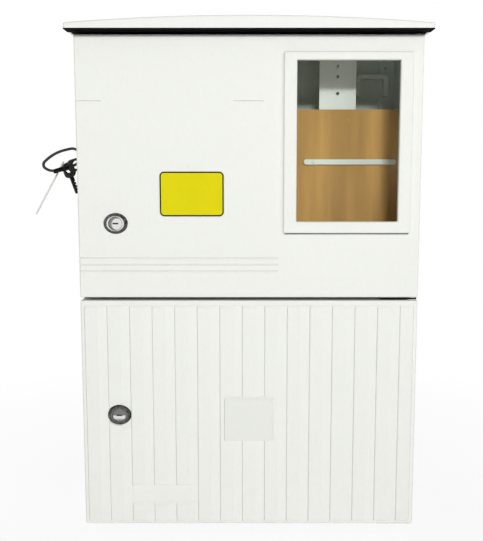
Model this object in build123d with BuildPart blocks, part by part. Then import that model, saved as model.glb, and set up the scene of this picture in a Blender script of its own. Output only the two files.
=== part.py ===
from build123d import *
import os
from math import cos, radians, sin

# Driving dimensions of the cabinet, in millimetres
body_width = 600.0
case_depth = 236.0
lower_door_height = 416.0
upper_door_height = 455.0
door_depth = 30.0

# Case mouldings
wall = 5.0
base_height = 15.0
side_flange = 30.0
cross_flange = 40.0
top_flange = 30.0
rear_flange = 30.0
corner_radius = 4.0
panel_gap = 0.5

# Doors
door_wall = 4.0
door_floor_gap = 14.0
door_gap = 5.0
door_case_gap = 4.0
door_edge_radius = 3.0
land_offset = 2.0
land_width = 8.0
gasket_thickness = 10.0

# Canopy
canopy_gap = 4.0
canopy_side_overhang = 10.0
canopy_front_overhang = 35.0
canopy_edge_height = 9.5
canopy_crown = 12.0
canopy_wall = 4.0
canopy_overlap = 5.0
canopy_edge_radius = 4.0
canopy_boss_radius = 9.0
canopy_boss_inset_x = 100.0
canopy_boss_inset_y = 48.0
closure_thickness = 4.0

# Pivots and fits
pivot_inset = 9.0
pivot_setback = 18.0
pivot_gap = 1.2
pivot_reach = 10.0
pin_radius = 3.5
bush_radius = 6.0
bush_flange_radius = 8.0
bush_flange = 1.0
pivot_boss = 12.0
running_clearance = 0.05
part_clearance = 0.1

# Ribs, pad and label band of the lower door
rib_count = 15
rib_width = 25.0
rib_height = 2.5
rib_margin = 6.8
rib_bottom_margin = 6.0
rib_top_margin = 12.0
rib_taper = 25.0
band_ribs = (2, 3, 4)
band_bottom = 38.5
band_height = 35.5
pad_width = 90.0
pad_height = 81.0
pad_bottom = 158.0
pad_thickness = 4.0
pad_radius = 3.0

# Grooves and window of the upper door
groove_width = 2.0
groove_depth = 1.2
groove_heights = (47.0, 58.5, 70.0)
groove_window_gap = 10.0
high_groove_drop = 112.6
high_groove_left = (0.0, 44.0)
high_groove_right = (272.0, 325.0)
window_width = 222.0
window_height = 310.0
window_right_margin = 18.0
window_top_margin = 30.0
window_side_border = 22.5
window_bottom_border = 20.0
window_top_border = 14.0
window_rise = 7.0
window_collar = 3.0
window_radius = 3.0
pane_side_lap = 6.0
pane_end_lap = 4.0
pane_thickness = 4.0
window_seal_thickness = 1.5

# Locks
lock_inset = 66.0
upper_lock_height = 131.6
lower_lock_height = 206.4
lock_width = 43.0
lock_height = 37.0
lock_rise = 5.0
lock_bezel = 4.0
lock_seat_clearance = 1.0
barrel_radius = 11.0
core_radius = 7.0
plug_radius = 12.0
plug_recess = 4.0
plug_sink = 1.8
cam_thickness = 3.0
cam_width = 16.0
cam_overlap = 12.0
cam_clearance = 1.0
cam_stud_radius = 4.0
nut_width = 28.0
nut_height = 6.0
key_slot_length = 10.0
key_slot_width = 2.6
key_slot_depth = 6.0

# Pivot brackets
bracket_leg_inset = 25.0
bracket_leg_width = 40.0
bracket_screw_pitch = 22.0
bracket_land_gap = 1.0

# Fasteners
screw_radius = 2.0
screw_head_radius = 3.5
screw_head_height = 2.4
bolt_radius = 2.5
bolt_head_radius = 4.5
bolt_head_height = 3.0

screw_hole_radius = screw_radius + part_clearance
bolt_hole_radius = bolt_radius + part_clearance

# Levels and faces worked out from the driving dimensions
half_width = body_width / 2
case_front = -case_depth / 2
case_back = case_depth / 2
inner_half = half_width - wall
opening_half = half_width - side_flange
door_rear = case_front - door_case_gap
door_front = door_rear - door_depth
door_inside = door_front + door_wall
lower_bottom = door_floor_gap
lower_top = lower_bottom + lower_door_height
upper_bottom = lower_top + door_gap
upper_top = upper_bottom + upper_door_height
door_split = (lower_top + upper_bottom) / 2
lip_bottom = upper_top + canopy_gap
case_top = lip_bottom + canopy_overlap
ceiling = case_top - wall
canopy_edge_top = lip_bottom + canopy_edge_height
lower_opening = (base_height + cross_flange, door_split - cross_flange)
upper_opening = (door_split + cross_flange, ceiling - top_flange)
land_reach = land_offset + land_width
pivot_x = half_width - pivot_inset
pivot_y = door_rear - pivot_setback
bracket_thickness = door_gap - 2 * pivot_gap
lock_x = -half_width + lock_inset
upper_lock_z = upper_bottom + upper_lock_height
lower_lock_z = lower_bottom + lower_lock_height
window_right = half_width - window_right_margin
window_left = window_right - window_width
window_top = upper_top - window_top_margin
window_bottom = window_top - window_height
window_x = (window_left + window_right) / 2
window_z = (window_bottom + window_top) / 2
daylight_width = window_width - 2 * window_side_border
daylight_height = window_height - window_bottom_border - window_top_border
daylight_z = window_bottom + window_bottom_border + daylight_height / 2

# Pivot brackets: where each leg meets the case and where its screws go
leg_right = half_width - bracket_leg_inset
leg_left = leg_right - bracket_leg_width
leg_middle = (leg_left + leg_right) / 2
lower_land = (lower_opening[0] - land_reach, lower_opening[1] + land_reach)
upper_land = (upper_opening[0] - land_reach, upper_opening[1] + land_reach)
bottom_screw_z = (lower_bottom + door_wall + lower_land[0]) / 2
below_split_screw_z = (lower_land[1] + lower_top - door_wall) / 2
above_split_screw_z = (upper_bottom + door_wall + upper_land[0]) / 2
top_screw_z = (upper_land[1] + upper_top - door_wall) / 2
bracket_screw_xs = (leg_middle - bracket_screw_pitch / 2, leg_middle + bracket_screw_pitch / 2)

os.makedirs("parts", exist_ok=True)


def save(builder, label):
    """Name a finished piece and write it to its own file."""
    builder.part.label = label
    export_step(builder.part, f"parts/{label}.step")


def block(x_range, y_range, z_range, mode=Mode.ADD):
    """A box between two limits on each axis, in the current part."""
    middle = [(limits[0] + limits[1]) / 2 for limits in (x_range, y_range, z_range)]
    size = [limits[1] - limits[0] for limits in (x_range, y_range, z_range)]
    with Locations(tuple(middle)):
        Box(*size, mode=mode)


def both(distance):
    """A range that reaches the same distance to either side of zero."""
    return (-distance, distance)


def drill(axis, points, radius, length, mode=Mode.SUBTRACT):
    """Round rods along an axis, each centred on its point; holes unless the mode says otherwise."""
    turn = {"X": (0, 90, 0), "Y": (90, 0, 0), "Z": (0, 0, 0)}[axis]
    with Locations(*points):
        Cylinder(radius, length, rotation=turn, mode=mode)


def screws(label, seats, outward, radius, head_radius, head_height, length):
    """A group of like hexagon screws: each head stands on its seat and its shank runs inward."""
    with BuildPart() as group:
        for seat in seats:
            seat_plane = Plane(origin=seat, z_dir=outward)
            with BuildSketch(seat_plane) as head:
                RegularPolygon(head_radius, 6)
            extrude(head.sketch, amount=head_height)
            with BuildSketch(seat_plane) as shank:
                Circle(radius)
            extrude(shank.sketch, amount=-length)
    save(group, label)


def bracket_screw_holes(*levels):
    """Holes through a front flange of the case for the screws of a pivot bracket."""
    spots = [(x, case_front, z) for x in bracket_screw_xs for z in levels]
    drill("Y", spots, screw_hole_radius, 4 * wall)


# Base panel: a tray turned over, with a plinth rim, a middle rib and a front flange
grommet_hole_radius = 22.0
grommet_pitch = 140.0
grommet_y = -50.0
grommet_spots = [(step * grommet_pitch, grommet_y) for step in (-1, 0, 1)]
base_rib_width = 12.0
base_floor = base_height - wall
base_middle = base_height - wall / 2

with BuildPart() as base_panel:
    with BuildSketch() as base_outline:
        RectangleRounded(body_width, case_depth, corner_radius)
    extrude(amount=base_height)
    for side in (-1, 1):
        pocket_y = sorted((side * base_rib_width / 2, side * (case_back - wall)))
        block(both(inner_half), pocket_y, (0, base_floor), Mode.SUBTRACT)
    block(both(opening_half), (case_front, case_front + wall), (base_height, lower_opening[0]))
    holes = [(x, y, base_middle) for x, y in grommet_spots]
    drill("Z", holes, grommet_hole_radius, 2 * wall)
    bracket_screw_holes(bottom_screw_z)
save(base_panel, "base_panel")

# Side panels: one C-shaped section each, with the vent opening in its outer wall
vent_width = 140.0
vent_height = 100.0
vent_y = -20.0
vent_rise = 252.0
vent_z = upper_bottom + vent_rise
side_levels = (base_height, ceiling)
back_screw_inset = 18.0
back_screw_end_inset = 30.0
back_screw_levels = (
    base_height + back_screw_end_inset,
    door_split + back_screw_end_inset,
    ceiling - back_screw_end_inset,
)
back_screw_x = inner_half - back_screw_inset
flange_face = case_back - 2 * wall

for side, name in ((-1, "left"), (1, "right")):
    with BuildPart() as side_panel:
        with BuildSketch(Plane.XY.offset(side_levels[0])) as section:
            with BuildLine():
                Polyline(
                    (side * half_width, case_front),
                    (side * half_width, case_back),
                    (side * inner_half, case_back),
                    (side * inner_half, case_back - wall),
                    (side * (inner_half - rear_flange), case_back - wall),
                    (side * (inner_half - rear_flange), flange_face),
                    (side * inner_half, flange_face),
                    (side * inner_half, case_front + wall),
                    (side * opening_half, case_front + wall),
                    (side * opening_half, case_front),
                    close=True,
                )
            make_face()
            outer = section.vertices().sort_by(Axis.X, reverse=side > 0)[0:2]
            fillet(outer, corner_radius)
        extrude(amount=side_levels[1] - side_levels[0])
        vent_spot = (side * half_width, vent_y, vent_z)
        with Locations(vent_spot):
            Box(4 * wall, vent_width, vent_height, mode=Mode.SUBTRACT)
        back_screw_holes = [(side * back_screw_x, flange_face, z) for z in back_screw_levels]
        drill("Y", back_screw_holes, screw_hole_radius, 4 * wall)
    save(side_panel, f"{name}_side_panel")

# Back panel: a flat sheet on the side panels' rear flanges, with four wall fixing holes
wall_hole_radius = 5.5
wall_hole_inset_x = 60.0
wall_hole_inset_z = 125.0
back_half = inner_half - panel_gap
back_levels = (base_height, ceiling)
back_face = case_back - wall
wall_holes = [
    (side * (half_width - wall_hole_inset_x), case_back - wall / 2, z)
    for side in (-1, 1)
    for z in (base_height + wall_hole_inset_z, ceiling - wall_hole_inset_z)
]
with BuildPart() as back_panel:
    block(both(back_half), (back_face, case_back), back_levels)
    drill("Y", wall_holes, wall_hole_radius, 4 * wall)
    back_screw_holes = [(x, case_back, z) for x in both(back_screw_x) for z in back_screw_levels]
    drill("Y", back_screw_holes, screw_hole_radius, 4 * wall)
save(back_panel, "back_panel")

back_screw_seats = [(x, flange_face, z) for x in both(back_screw_x) for z in back_screw_levels]
screws(
    "back_panel_screws", back_screw_seats, (0, -1, 0),
    screw_radius, screw_head_radius, screw_head_height, 2 * wall,
)

# Top panel: a flat sheet with a front flange, drilled for the canopy bolts
canopy_boss_x = half_width - canopy_boss_inset_x
canopy_boss_y = case_depth / 2 - canopy_boss_inset_y
canopy_bosses = [(x, y) for x in both(canopy_boss_x) for y in both(canopy_boss_y)]
canopy_bolt_length = 12.0

with BuildPart() as top_panel:
    with BuildSketch(Plane.XY.offset(ceiling)) as top_outline:
        RectangleRounded(body_width, case_depth, corner_radius)
    extrude(amount=wall)
    block(both(opening_half), (case_front, case_front + wall), (upper_opening[1], ceiling))
    drill("Z", [(x, y, ceiling) for x, y in canopy_bosses], bolt_hole_radius, 4 * wall)
    bracket_screw_holes(top_screw_z)
save(top_panel, "top_panel")

# Partition panel: the shelf between the compartments with the front flange that both doors close on
shelf_half = inner_half - panel_gap
shelf_back = flange_face - panel_gap
cable_slot_length = 160.0
cable_slot_width = 44.0
cable_slot_y = 60.0

with BuildPart() as partition_panel:
    block(both(shelf_half), (case_front + wall, shelf_back), (door_split - wall / 2, door_split + wall / 2))
    block(both(opening_half), (case_front, case_front + wall), (lower_opening[1], upper_opening[0]))
    with BuildSketch(Plane.XY.offset(door_split)) as cable_slot:
        with Locations((0, cable_slot_y)):
            SlotOverall(cable_slot_length, cable_slot_width)
    extrude(amount=2 * wall, both=True, mode=Mode.SUBTRACT)
    bracket_screw_holes(below_split_screw_z, above_split_screw_z)
save(partition_panel, "partition_panel")

# Canopy: a shell with a crowned roof and a lip that hangs over the case, on four bosses
canopy_half = half_width + canopy_side_overhang
canopy_front = door_front - canopy_front_overhang
canopy_boss_top = canopy_edge_top + canopy_crown / 4


def crowned_section(half, bottom, edge_top, crown, front, back, mode=Mode.ADD, radius=0.0):
    """A flat-bottomed bar along Y with a roof that rises in one arc to its middle."""
    with BuildSketch(Plane.XZ.offset(-front)) as section:
        with BuildLine():
            Polyline((-half, edge_top), (-half, bottom), (half, bottom), (half, edge_top))
            ThreePointArc((half, edge_top), (0, edge_top + crown), (-half, edge_top))
        make_face()
        if radius:
            fillet(section.vertices().group_by(Axis.Y)[-1], radius)
    extrude(section.sketch, amount=front - back, mode=mode)


with BuildPart() as canopy:
    crowned_section(
        canopy_half, lip_bottom, canopy_edge_top, canopy_crown, canopy_front, case_back,
        radius=canopy_edge_radius,
    )
    front_edges = canopy.faces().sort_by(Axis.Y)[0].edges()
    fillet(front_edges.sort_by(Axis.Z)[1:], canopy_edge_radius)
    crowned_section(
        canopy_half - canopy_wall, lip_bottom, canopy_edge_top - canopy_wall, canopy_crown,
        canopy_front + canopy_wall, case_back - canopy_wall, mode=Mode.SUBTRACT,
    )
    block(both(canopy_half - canopy_wall), (0, case_back), (lip_bottom, case_top), Mode.SUBTRACT)
    for x, y in canopy_bosses:
        with Locations((x, y, (case_top + canopy_boss_top) / 2)):
            Cylinder(canopy_boss_radius, canopy_boss_top - case_top)
    bolt_holes = [(x, y, case_top) for x, y in canopy_bosses]
    drill("Z", bolt_holes, bolt_hole_radius, 2 * (canopy_bolt_length - wall))
save(canopy, "canopy")

canopy_bolt_seats = [(x, y, ceiling) for x, y in canopy_bosses]
screws(
    "canopy_bolts", canopy_bolt_seats, (0, 0, -1),
    bolt_radius, bolt_head_radius, bolt_head_height, canopy_bolt_length - part_clearance,
)

# Black rubber strip that closes the hollow under the canopy's overhang, with a skirt under the lip
closure_back = case_front - bracket_thickness - panel_gap
skirt_thickness = 1.5
skirt_edge = 0.5
skirt_back = door_front

with BuildPart() as canopy_closure_strip:
    block(
        both(canopy_half - canopy_wall - panel_gap),
        (canopy_front + canopy_wall, closure_back),
        (lip_bottom, lip_bottom + closure_thickness),
    )
    block(
        both(canopy_half - skirt_edge),
        (canopy_front + skirt_edge, skirt_back),
        (lip_bottom - skirt_thickness, lip_bottom),
    )
save(canopy_closure_strip, "canopy_closure_strip")

# Vent grilles: a frame on the outside of each side panel with sloping slats in its opening
vent_border = 10.0
vent_frame_thickness = 3.0
vent_collar = 2.0
vent_collar_depth = 13.0
slat_count = 5
slat_height = 6.0
slat_rise = 8.0
slat_inset = 1.0
vent_collar_y = vent_width - 2 * panel_gap
vent_collar_z = vent_height - 2 * panel_gap
slat_pitch = (vent_collar_z - 2 * vent_collar - slat_rise) / slat_count
vent_outer = half_width + vent_frame_thickness
vent_inner = vent_outer - vent_collar_depth
slat_bottoms = [
    vent_z - vent_collar_z / 2 + vent_collar + slat_pitch * (step + 0.5) - slat_height / 2
    for step in range(slat_count)
]

for side, name in ((-1, "left"), (1, "right")):
    with BuildPart() as vent_grille:
        vent_plane = Plane(origin=(side * half_width, vent_y, vent_z), x_dir=(0, side, 0), z_dir=(side, 0, 0))
        with BuildSketch(vent_plane) as vent_frame:
            RectangleRounded(vent_width + 2 * vent_border, vent_height + 2 * vent_border, vent_border / 2)
        extrude(amount=vent_frame_thickness)
        with BuildSketch(vent_plane) as vent_body:
            Rectangle(vent_collar_y, vent_collar_z)
        extrude(amount=vent_frame_thickness - vent_collar_depth)
        with BuildSketch(vent_plane) as vent_mouth:
            Rectangle(vent_collar_y - 2 * vent_collar, vent_collar_z - 2 * vent_collar)
        extrude(amount=vent_collar_depth, both=True, mode=Mode.SUBTRACT)
        for slat_z in slat_bottoms:
            with BuildSketch(Plane.XZ.offset(-vent_y)) as slat:
                with BuildLine():
                    Polyline(
                        (side * (vent_outer - slat_inset), slat_z),
                        (side * vent_inner, slat_z + slat_rise),
                        (side * vent_inner, slat_z + slat_rise + slat_height),
                        (side * (vent_outer - slat_inset), slat_z + slat_height),
                        close=True,
                    )
                make_face()
            extrude(amount=(vent_collar_y - vent_collar) / 2, both=True)
    save(vent_grille, f"{name}_vent_grille")

# Rubber grommets in the base panel's cable entries
grommet_bore_radius = 15.0
grommet_lip = 4.0
grommet_lip_thickness = 5.0

with BuildPart() as cable_grommets:
    for x, y in grommet_spots:
        grommet_plane = Plane(origin=(x, y, base_middle), x_dir=(1, 0, 0), z_dir=(0, -1, 0))
        with BuildSketch(grommet_plane) as half_section:
            with BuildLine():
                Polyline(
                    (grommet_bore_radius, wall / 2 + grommet_lip_thickness),
                    (grommet_bore_radius, -wall / 2 - grommet_lip_thickness),
                    (grommet_hole_radius + grommet_lip, -wall / 2 - grommet_lip_thickness),
                    (grommet_hole_radius + grommet_lip, -wall / 2),
                    (grommet_hole_radius - part_clearance, -wall / 2),
                    (grommet_hole_radius - part_clearance, wall / 2),
                    (grommet_hole_radius + grommet_lip, wall / 2),
                    (grommet_hole_radius + grommet_lip, wall / 2 + grommet_lip_thickness),
                    close=True,
                )
            make_face()
        revolve(half_section.sketch, axis=Axis((x, y, base_middle), (0, 0, 1)))
save(cable_grommets, "cable_grommets")

# Pivot brackets: a tongue that carries the pin, bent to a leg screwed to the case's front flange
tongue_side_inset = 1.0
tongue_lead = 5.5
tongue_right = half_width - tongue_side_inset
tongue_front = pivot_y - tongue_lead
leg_back = case_front
leg_front = case_front - bracket_thickness
pin_hole_radius = pin_radius + running_clearance
top_tongue = upper_top + pivot_gap
middle_tongue = lower_top + pivot_gap
bottom_tongue = lower_bottom - pivot_gap - bracket_thickness
brackets = (
    (
        "bottom_pivot_bracket",
        bottom_tongue,
        (bottom_tongue, lower_land[0] - bracket_land_gap),
        (bottom_screw_z,),
    ),
    (
        "middle_pivot_bracket",
        middle_tongue,
        (lower_land[1] + bracket_land_gap, upper_land[0] - bracket_land_gap),
        (below_split_screw_z, above_split_screw_z),
    ),
    (
        "top_pivot_bracket",
        top_tongue,
        (upper_land[1] + bracket_land_gap, top_tongue + bracket_thickness),
        (top_screw_z,),
    ),
)

for name, tongue_z, leg_range, screw_levels in brackets:
    with BuildPart() as pivot_bracket:
        block((leg_left, leg_right), (leg_front, leg_back), leg_range)
        tongue_range = (tongue_z, tongue_z + bracket_thickness)
        block((leg_left, tongue_right), (tongue_front, leg_back), tongue_range)
        fillet(pivot_bracket.edges().filter_by(Axis.Z).group_by(Axis.Y)[0], bracket_thickness)
        drill("Z", [(pivot_x, pivot_y, tongue_z)], pin_hole_radius, 4 * bracket_thickness)
        bracket_screw_holes(*screw_levels)
    save(pivot_bracket, name)

bracket_screw_seats = [
    (x, leg_front, z) for _, _, _, levels in brackets for x in bracket_screw_xs for z in levels
]
screws(
    "bracket_screws", bracket_screw_seats, (0, -1, 0),
    screw_radius, screw_head_radius, screw_head_height, bracket_thickness + wall,
)

# Pivot pins: one through each tongue, reaching into the bushes of the doors
pin_ranges = (
    (bottom_tongue, lower_bottom + pivot_reach),
    (lower_top - pivot_reach, upper_bottom + pivot_reach),
    (upper_top - pivot_reach, top_tongue + bracket_thickness),
)

with BuildPart() as pivot_pins:
    for low, high in pin_ranges:
        with Locations((pivot_x, pivot_y, (low + high) / 2)):
            Cylinder(pin_radius, high - low)
save(pivot_pins, "pivot_pins")


def standoff_group(label, spots, face, height, radius, bore_radius):
    """Hexagon spacers that stand on a face towards the front."""
    with BuildPart() as group:
        for x, z in spots:
            with BuildSketch(Plane.XZ.offset(-face)) as ring:
                with Locations((x, z)):
                    RegularPolygon(radius, 6)
                    Circle(bore_radius, mode=Mode.SUBTRACT)
            extrude(ring.sketch, amount=height)
    save(group, label)


# Meter board on four standoffs in the upper compartment
board_thickness = 6.0
board_standoff = 113.0
board_standoff_radius = 8.0
board_side_margin = 15.0
board_bottom_margin = 24.5
board_top_margin = 120.0
board_radius = 4.0
board_inset = 30.0
board_screw_grip = 20.0
board_half = half_width - board_side_margin
board_levels = (upper_opening[0] + board_bottom_margin, ceiling - board_top_margin)
board_back = back_face - board_standoff
board_front = board_back - board_thickness
board_screw_levels = (board_levels[0] + board_inset, board_levels[1] - board_inset)
board_spots = [(x, z) for x in both(board_half - board_inset) for z in board_screw_levels]

# Hanger plate behind the board's top edge
hanger_width = 70.0
hanger_thickness = 4.0
hanger_offset = -2.0
hanger_lap = 40.0
hanger_top_margin = 17.0
hanger_screw_pitch = 40.0
hanger_radius = 3.0
hanger_x = window_x + hanger_offset
hanger_top = ceiling - hanger_top_margin
hanger_bottom = board_levels[1] - hanger_lap
hanger_screw_xs = (hanger_x - hanger_screw_pitch / 2, hanger_x + hanger_screw_pitch / 2)
hanger_spots = [(x, board_levels[1] - hanger_lap / 2) for x in hanger_screw_xs]

# Cross rail in front of the board, behind the window
rail_drop = 99.0
rail_height = 10.0
rail_thickness = 6.0
rail_window_lap = 45.0
rail_end_margin = 4.0
rail_screw_inset = 20.0
rail_radius = 4.0
rail_z = board_levels[1] - rail_drop
rail_x_range = (window_left + rail_window_lap, board_half - rail_end_margin)
rail_spots = [(rail_x_range[0] + rail_screw_inset, rail_z), (rail_x_range[1] - rail_screw_inset, rail_z)]

with BuildPart() as meter_board:
    block(both(board_half), (board_front, board_back), board_levels)
    fillet(meter_board.edges().filter_by(Axis.Y), board_radius)
    holes = [(x, board_front, z) for x, z in board_spots + rail_spots + hanger_spots]
    drill("Y", holes, screw_hole_radius, 4 * board_thickness)
save(meter_board, "meter_board")

standoff_group(
    "board_standoffs", board_spots, back_face, board_standoff, board_standoff_radius, screw_hole_radius
)
board_screw_seats = [(x, board_front, z) for x, z in board_spots]
screws(
    "board_screws", board_screw_seats, (0, -1, 0),
    screw_radius, screw_head_radius, screw_head_height, board_thickness + board_screw_grip,
)

# The hanger plate has a column of fixing holes above the board
hanger_hole_drops = (21.5, 41.0, 72.5)
hanger_hole_radius = 3.0
hanger_holes = [(hanger_x, board_back, hanger_top - drop) for drop in hanger_hole_drops]

with BuildPart() as hanger_plate:
    hanger_x_range = (hanger_x - hanger_width / 2, hanger_x + hanger_width / 2)
    block(hanger_x_range, (board_back, board_back + hanger_thickness), (hanger_bottom, hanger_top))
    fillet(hanger_plate.edges().filter_by(Axis.Y), hanger_radius)
    drill("Y", hanger_holes, hanger_hole_radius, 4 * hanger_thickness)
    drill("Y", [(x, board_back, z) for x, z in hanger_spots], screw_hole_radius, 4 * hanger_thickness)
save(hanger_plate, "hanger_plate")

hanger_screw_seats = [(x, board_front, z) for x, z in hanger_spots]
screws(
    "hanger_screws", hanger_screw_seats, (0, -1, 0),
    screw_radius, screw_head_radius, screw_head_height, board_thickness + hanger_thickness,
)

rail_front = board_front - rail_thickness

with BuildPart() as cross_rail:
    rail_z_range = (rail_z - rail_height / 2, rail_z + rail_height / 2)
    block(rail_x_range, (rail_front, board_front), rail_z_range)
    fillet(cross_rail.edges().filter_by(Axis.Y), rail_radius)
    drill("Y", [(x, rail_front, z) for x, z in rail_spots], screw_hole_radius, 4 * rail_thickness)
save(cross_rail, "cross_rail")

rail_screw_seats = [(x, rail_front, z) for x, z in rail_spots]
screws(
    "rail_screws", rail_screw_seats, (0, -1, 0),
    screw_radius, screw_head_radius, screw_head_height, rail_thickness + board_thickness,
)

# Cable saddle: an arch that stands out from the back panel, stepped over the side panel's rear flange
saddle_width = 64.0
saddle_height = 42.0
saddle_thickness = 8.0
saddle_depth = 25.0
saddle_side_gap = 15.0
saddle_drop = 44.0
saddle_bend = 10.0
saddle_right = inner_half - saddle_side_gap
saddle_left = saddle_right - saddle_width
saddle_top = ceiling - saddle_drop
saddle_bottom = saddle_top - saddle_height

with BuildPart() as cable_saddle:
    with BuildSketch(Plane.XZ.offset(-back_face)) as saddle_section:
        with BuildLine():
            FilletPolyline(
                (saddle_left, saddle_bottom),
                (saddle_left, saddle_top),
                (saddle_right, saddle_top),
                (saddle_right, saddle_bottom),
                radius=saddle_bend,
            )
            offset(amount=saddle_thickness, side=Side.RIGHT)
        make_face()
    extrude(amount=saddle_depth)
    flange_edge = inner_half - rear_flange - panel_gap
    block((flange_edge, half_width), (flange_face, case_back), (saddle_bottom, saddle_top), Mode.SUBTRACT)
save(cable_saddle, "cable_saddle")

# Gear plate with a DIN rail in the lower compartment
gear_side_margin = 80.0
gear_bottom_margin = 30.0
gear_top_margin = 12.0
gear_thickness = 2.5
gear_standoff = 14.0
gear_standoff_radius = 6.0
gear_inset = 18.0
gear_half = half_width - gear_side_margin
gear_levels = (lower_opening[0] + gear_bottom_margin, lower_opening[1] - gear_top_margin)
gear_back = back_face - gear_standoff
gear_front = gear_back - gear_thickness
gear_screw_levels = (gear_levels[0] + gear_inset, gear_levels[1] - gear_inset)
gear_spots = [(x, z) for x in both(gear_half - gear_inset) for z in gear_screw_levels]
din_end_margin = 30.0
din_drop = 118.0
din_screw_inset = 20.0
din_width = 35.0
din_channel = 25.0
din_depth = 7.5
din_gauge = 1.2
din_half = gear_half - din_end_margin
din_z = gear_levels[1] - din_drop
din_spots = [(x, din_z) for x in both(din_half - din_screw_inset)]
bar_length = 180.0
bar_height = 12.0
bar_thickness = 8.0
bar_rise = 59.0
bar_foot = 22.0
bar_foot_radius = 7.0
bar_foot_inset = 10.0
bar_half = bar_length / 2
bar_z = gear_levels[0] + bar_rise
bar_spots = [(x, bar_z) for x in both(bar_half - bar_foot_inset)]

with BuildPart() as gear_plate:
    block(both(gear_half), (gear_front, gear_back), gear_levels)
    holes = [(x, gear_front, z) for x, z in gear_spots + din_spots + bar_spots]
    drill("Y", holes, screw_hole_radius, 4 * gear_thickness)
save(gear_plate, "gear_plate")

standoff_group(
    "gear_standoffs", gear_spots, back_face, gear_standoff, gear_standoff_radius, screw_hole_radius
)
gear_screw_seats = [(x, gear_front, z) for x, z in gear_spots]
screws(
    "gear_plate_screws", gear_screw_seats, (0, -1, 0),
    screw_radius, screw_head_radius, screw_head_height, gear_thickness + gear_standoff,
)

with BuildPart() as din_rail:
    with BuildSketch(Plane.YZ.offset(-din_half)) as hat_section:
        with Locations((gear_front - din_gauge / 2, din_z)):
            Rectangle(din_gauge, din_channel)
        for side in (-1, 1):
            with Locations((gear_front - din_depth / 2, din_z + side * (din_channel - din_gauge) / 2)):
                Rectangle(din_depth, din_gauge)
            flange_z = din_z + side * (din_channel + din_width - 2 * din_gauge) / 4
            with Locations((gear_front - din_depth + din_gauge / 2, flange_z)):
                Rectangle(din_gauge, (din_width - din_channel) / 2 + din_gauge)
    extrude(amount=2 * din_half)
    drill("Y", [(x, gear_front, z) for x, z in din_spots], screw_hole_radius, 4 * din_gauge)
save(din_rail, "din_rail")

din_screw_seats = [(x, gear_front - din_gauge, z) for x, z in din_spots]
screws(
    "din_rail_screws", din_screw_seats, (0, -1, 0),
    screw_radius, screw_head_radius, screw_head_height, din_gauge + gear_thickness,
)

# Earth bar on two insulating feet, with a row of wire holes
clamp_count = 6
clamp_end_inset = 20.0
wire_hole_radius = 2.5
bar_back = gear_front - bar_foot
bar_front = bar_back - bar_thickness
clamp_pitch = (bar_length - 2 * clamp_end_inset) / (clamp_count - 1)
clamp_xs = [-bar_half + clamp_end_inset + clamp_pitch * step for step in range(clamp_count)]

with BuildPart() as earth_bar:
    bar_z_range = (bar_z - bar_height / 2, bar_z + bar_height / 2)
    block(both(bar_half), (bar_front, bar_back), bar_z_range)
    middle_y = (bar_front + bar_back) / 2
    drill("Z", [(x, middle_y, bar_z) for x in clamp_xs], wire_hole_radius, 2 * bar_height)
    drill("Y", [(x, bar_front, z) for x, z in bar_spots], screw_hole_radius, 4 * bar_thickness)
save(earth_bar, "earth_bar")

standoff_group("earth_bar_feet", bar_spots, gear_front, bar_foot, bar_foot_radius, screw_hole_radius)
bar_screw_seats = [(x, bar_front, z) for x, z in bar_spots]
screws(
    "earth_bar_screws", bar_screw_seats, (0, -1, 0),
    screw_radius, screw_head_radius, screw_head_height, bar_thickness + bar_foot + gear_thickness,
)

# Doors: a tray open to the rear, with a land for the gasket and bosses for the pivot bushes
bush_hole_radius = bush_radius + part_clearance
barrel_hole_radius = barrel_radius + part_clearance
land_rear = case_front - gasket_thickness
boss_left = pivot_x - bush_flange_radius - door_wall
boss_back = pivot_y + bush_flange_radius + door_wall


def land_sketch(face, opening):
    """The ring that follows the case opening a little outside its edge, on a plane across Y."""
    middle = (opening[0] + opening[1]) / 2
    inner_width = 2 * (opening_half + land_offset)
    inner_height = opening[1] - opening[0] + 2 * land_offset
    with BuildSketch(Plane.XZ.offset(-face)) as ring:
        with Locations((0, middle)):
            Rectangle(inner_width + 2 * land_width, inner_height + 2 * land_width)
            Rectangle(inner_width, inner_height, mode=Mode.SUBTRACT)
    return ring.sketch


def door_tray(tray, bottom, top, opening, lock_z):
    """The shape that both doors share, in the part that is being built."""
    block(both(half_width), (door_front, door_rear), (bottom, top))
    fillet(tray.edges().filter_by(Axis.Y), door_edge_radius)
    fillet(tray.faces().sort_by(Axis.Y)[0].edges(), door_edge_radius)
    hollow_levels = (bottom + door_wall, top - door_wall)
    block(both(half_width - door_wall), (door_inside, door_rear), hollow_levels, Mode.SUBTRACT)
    for levels in ((bottom, bottom + pivot_boss), (top - pivot_boss, top)):
        inset = (levels[0] + door_edge_radius, levels[1] - door_edge_radius)
        block((boss_left, half_width - door_wall / 2), (door_inside - door_wall / 2, boss_back), inset)
        block((boss_left, half_width - door_wall), (door_inside, boss_back), levels)
    extrude(land_sketch(door_inside, opening), amount=door_inside - land_rear)
    drill("Z", [(pivot_x, pivot_y, bottom), (pivot_x, pivot_y, top)], bush_hole_radius, 4 * pivot_boss)
    drill("Y", [(lock_x, door_front, lock_z)], barrel_hole_radius, 4 * door_wall)


def door_seal(label, opening):
    """The soft ring between a door's land and the case flange."""
    with BuildPart() as seal:
        extrude(land_sketch(land_rear, opening), amount=-gasket_thickness)
    save(seal, label)


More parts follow.
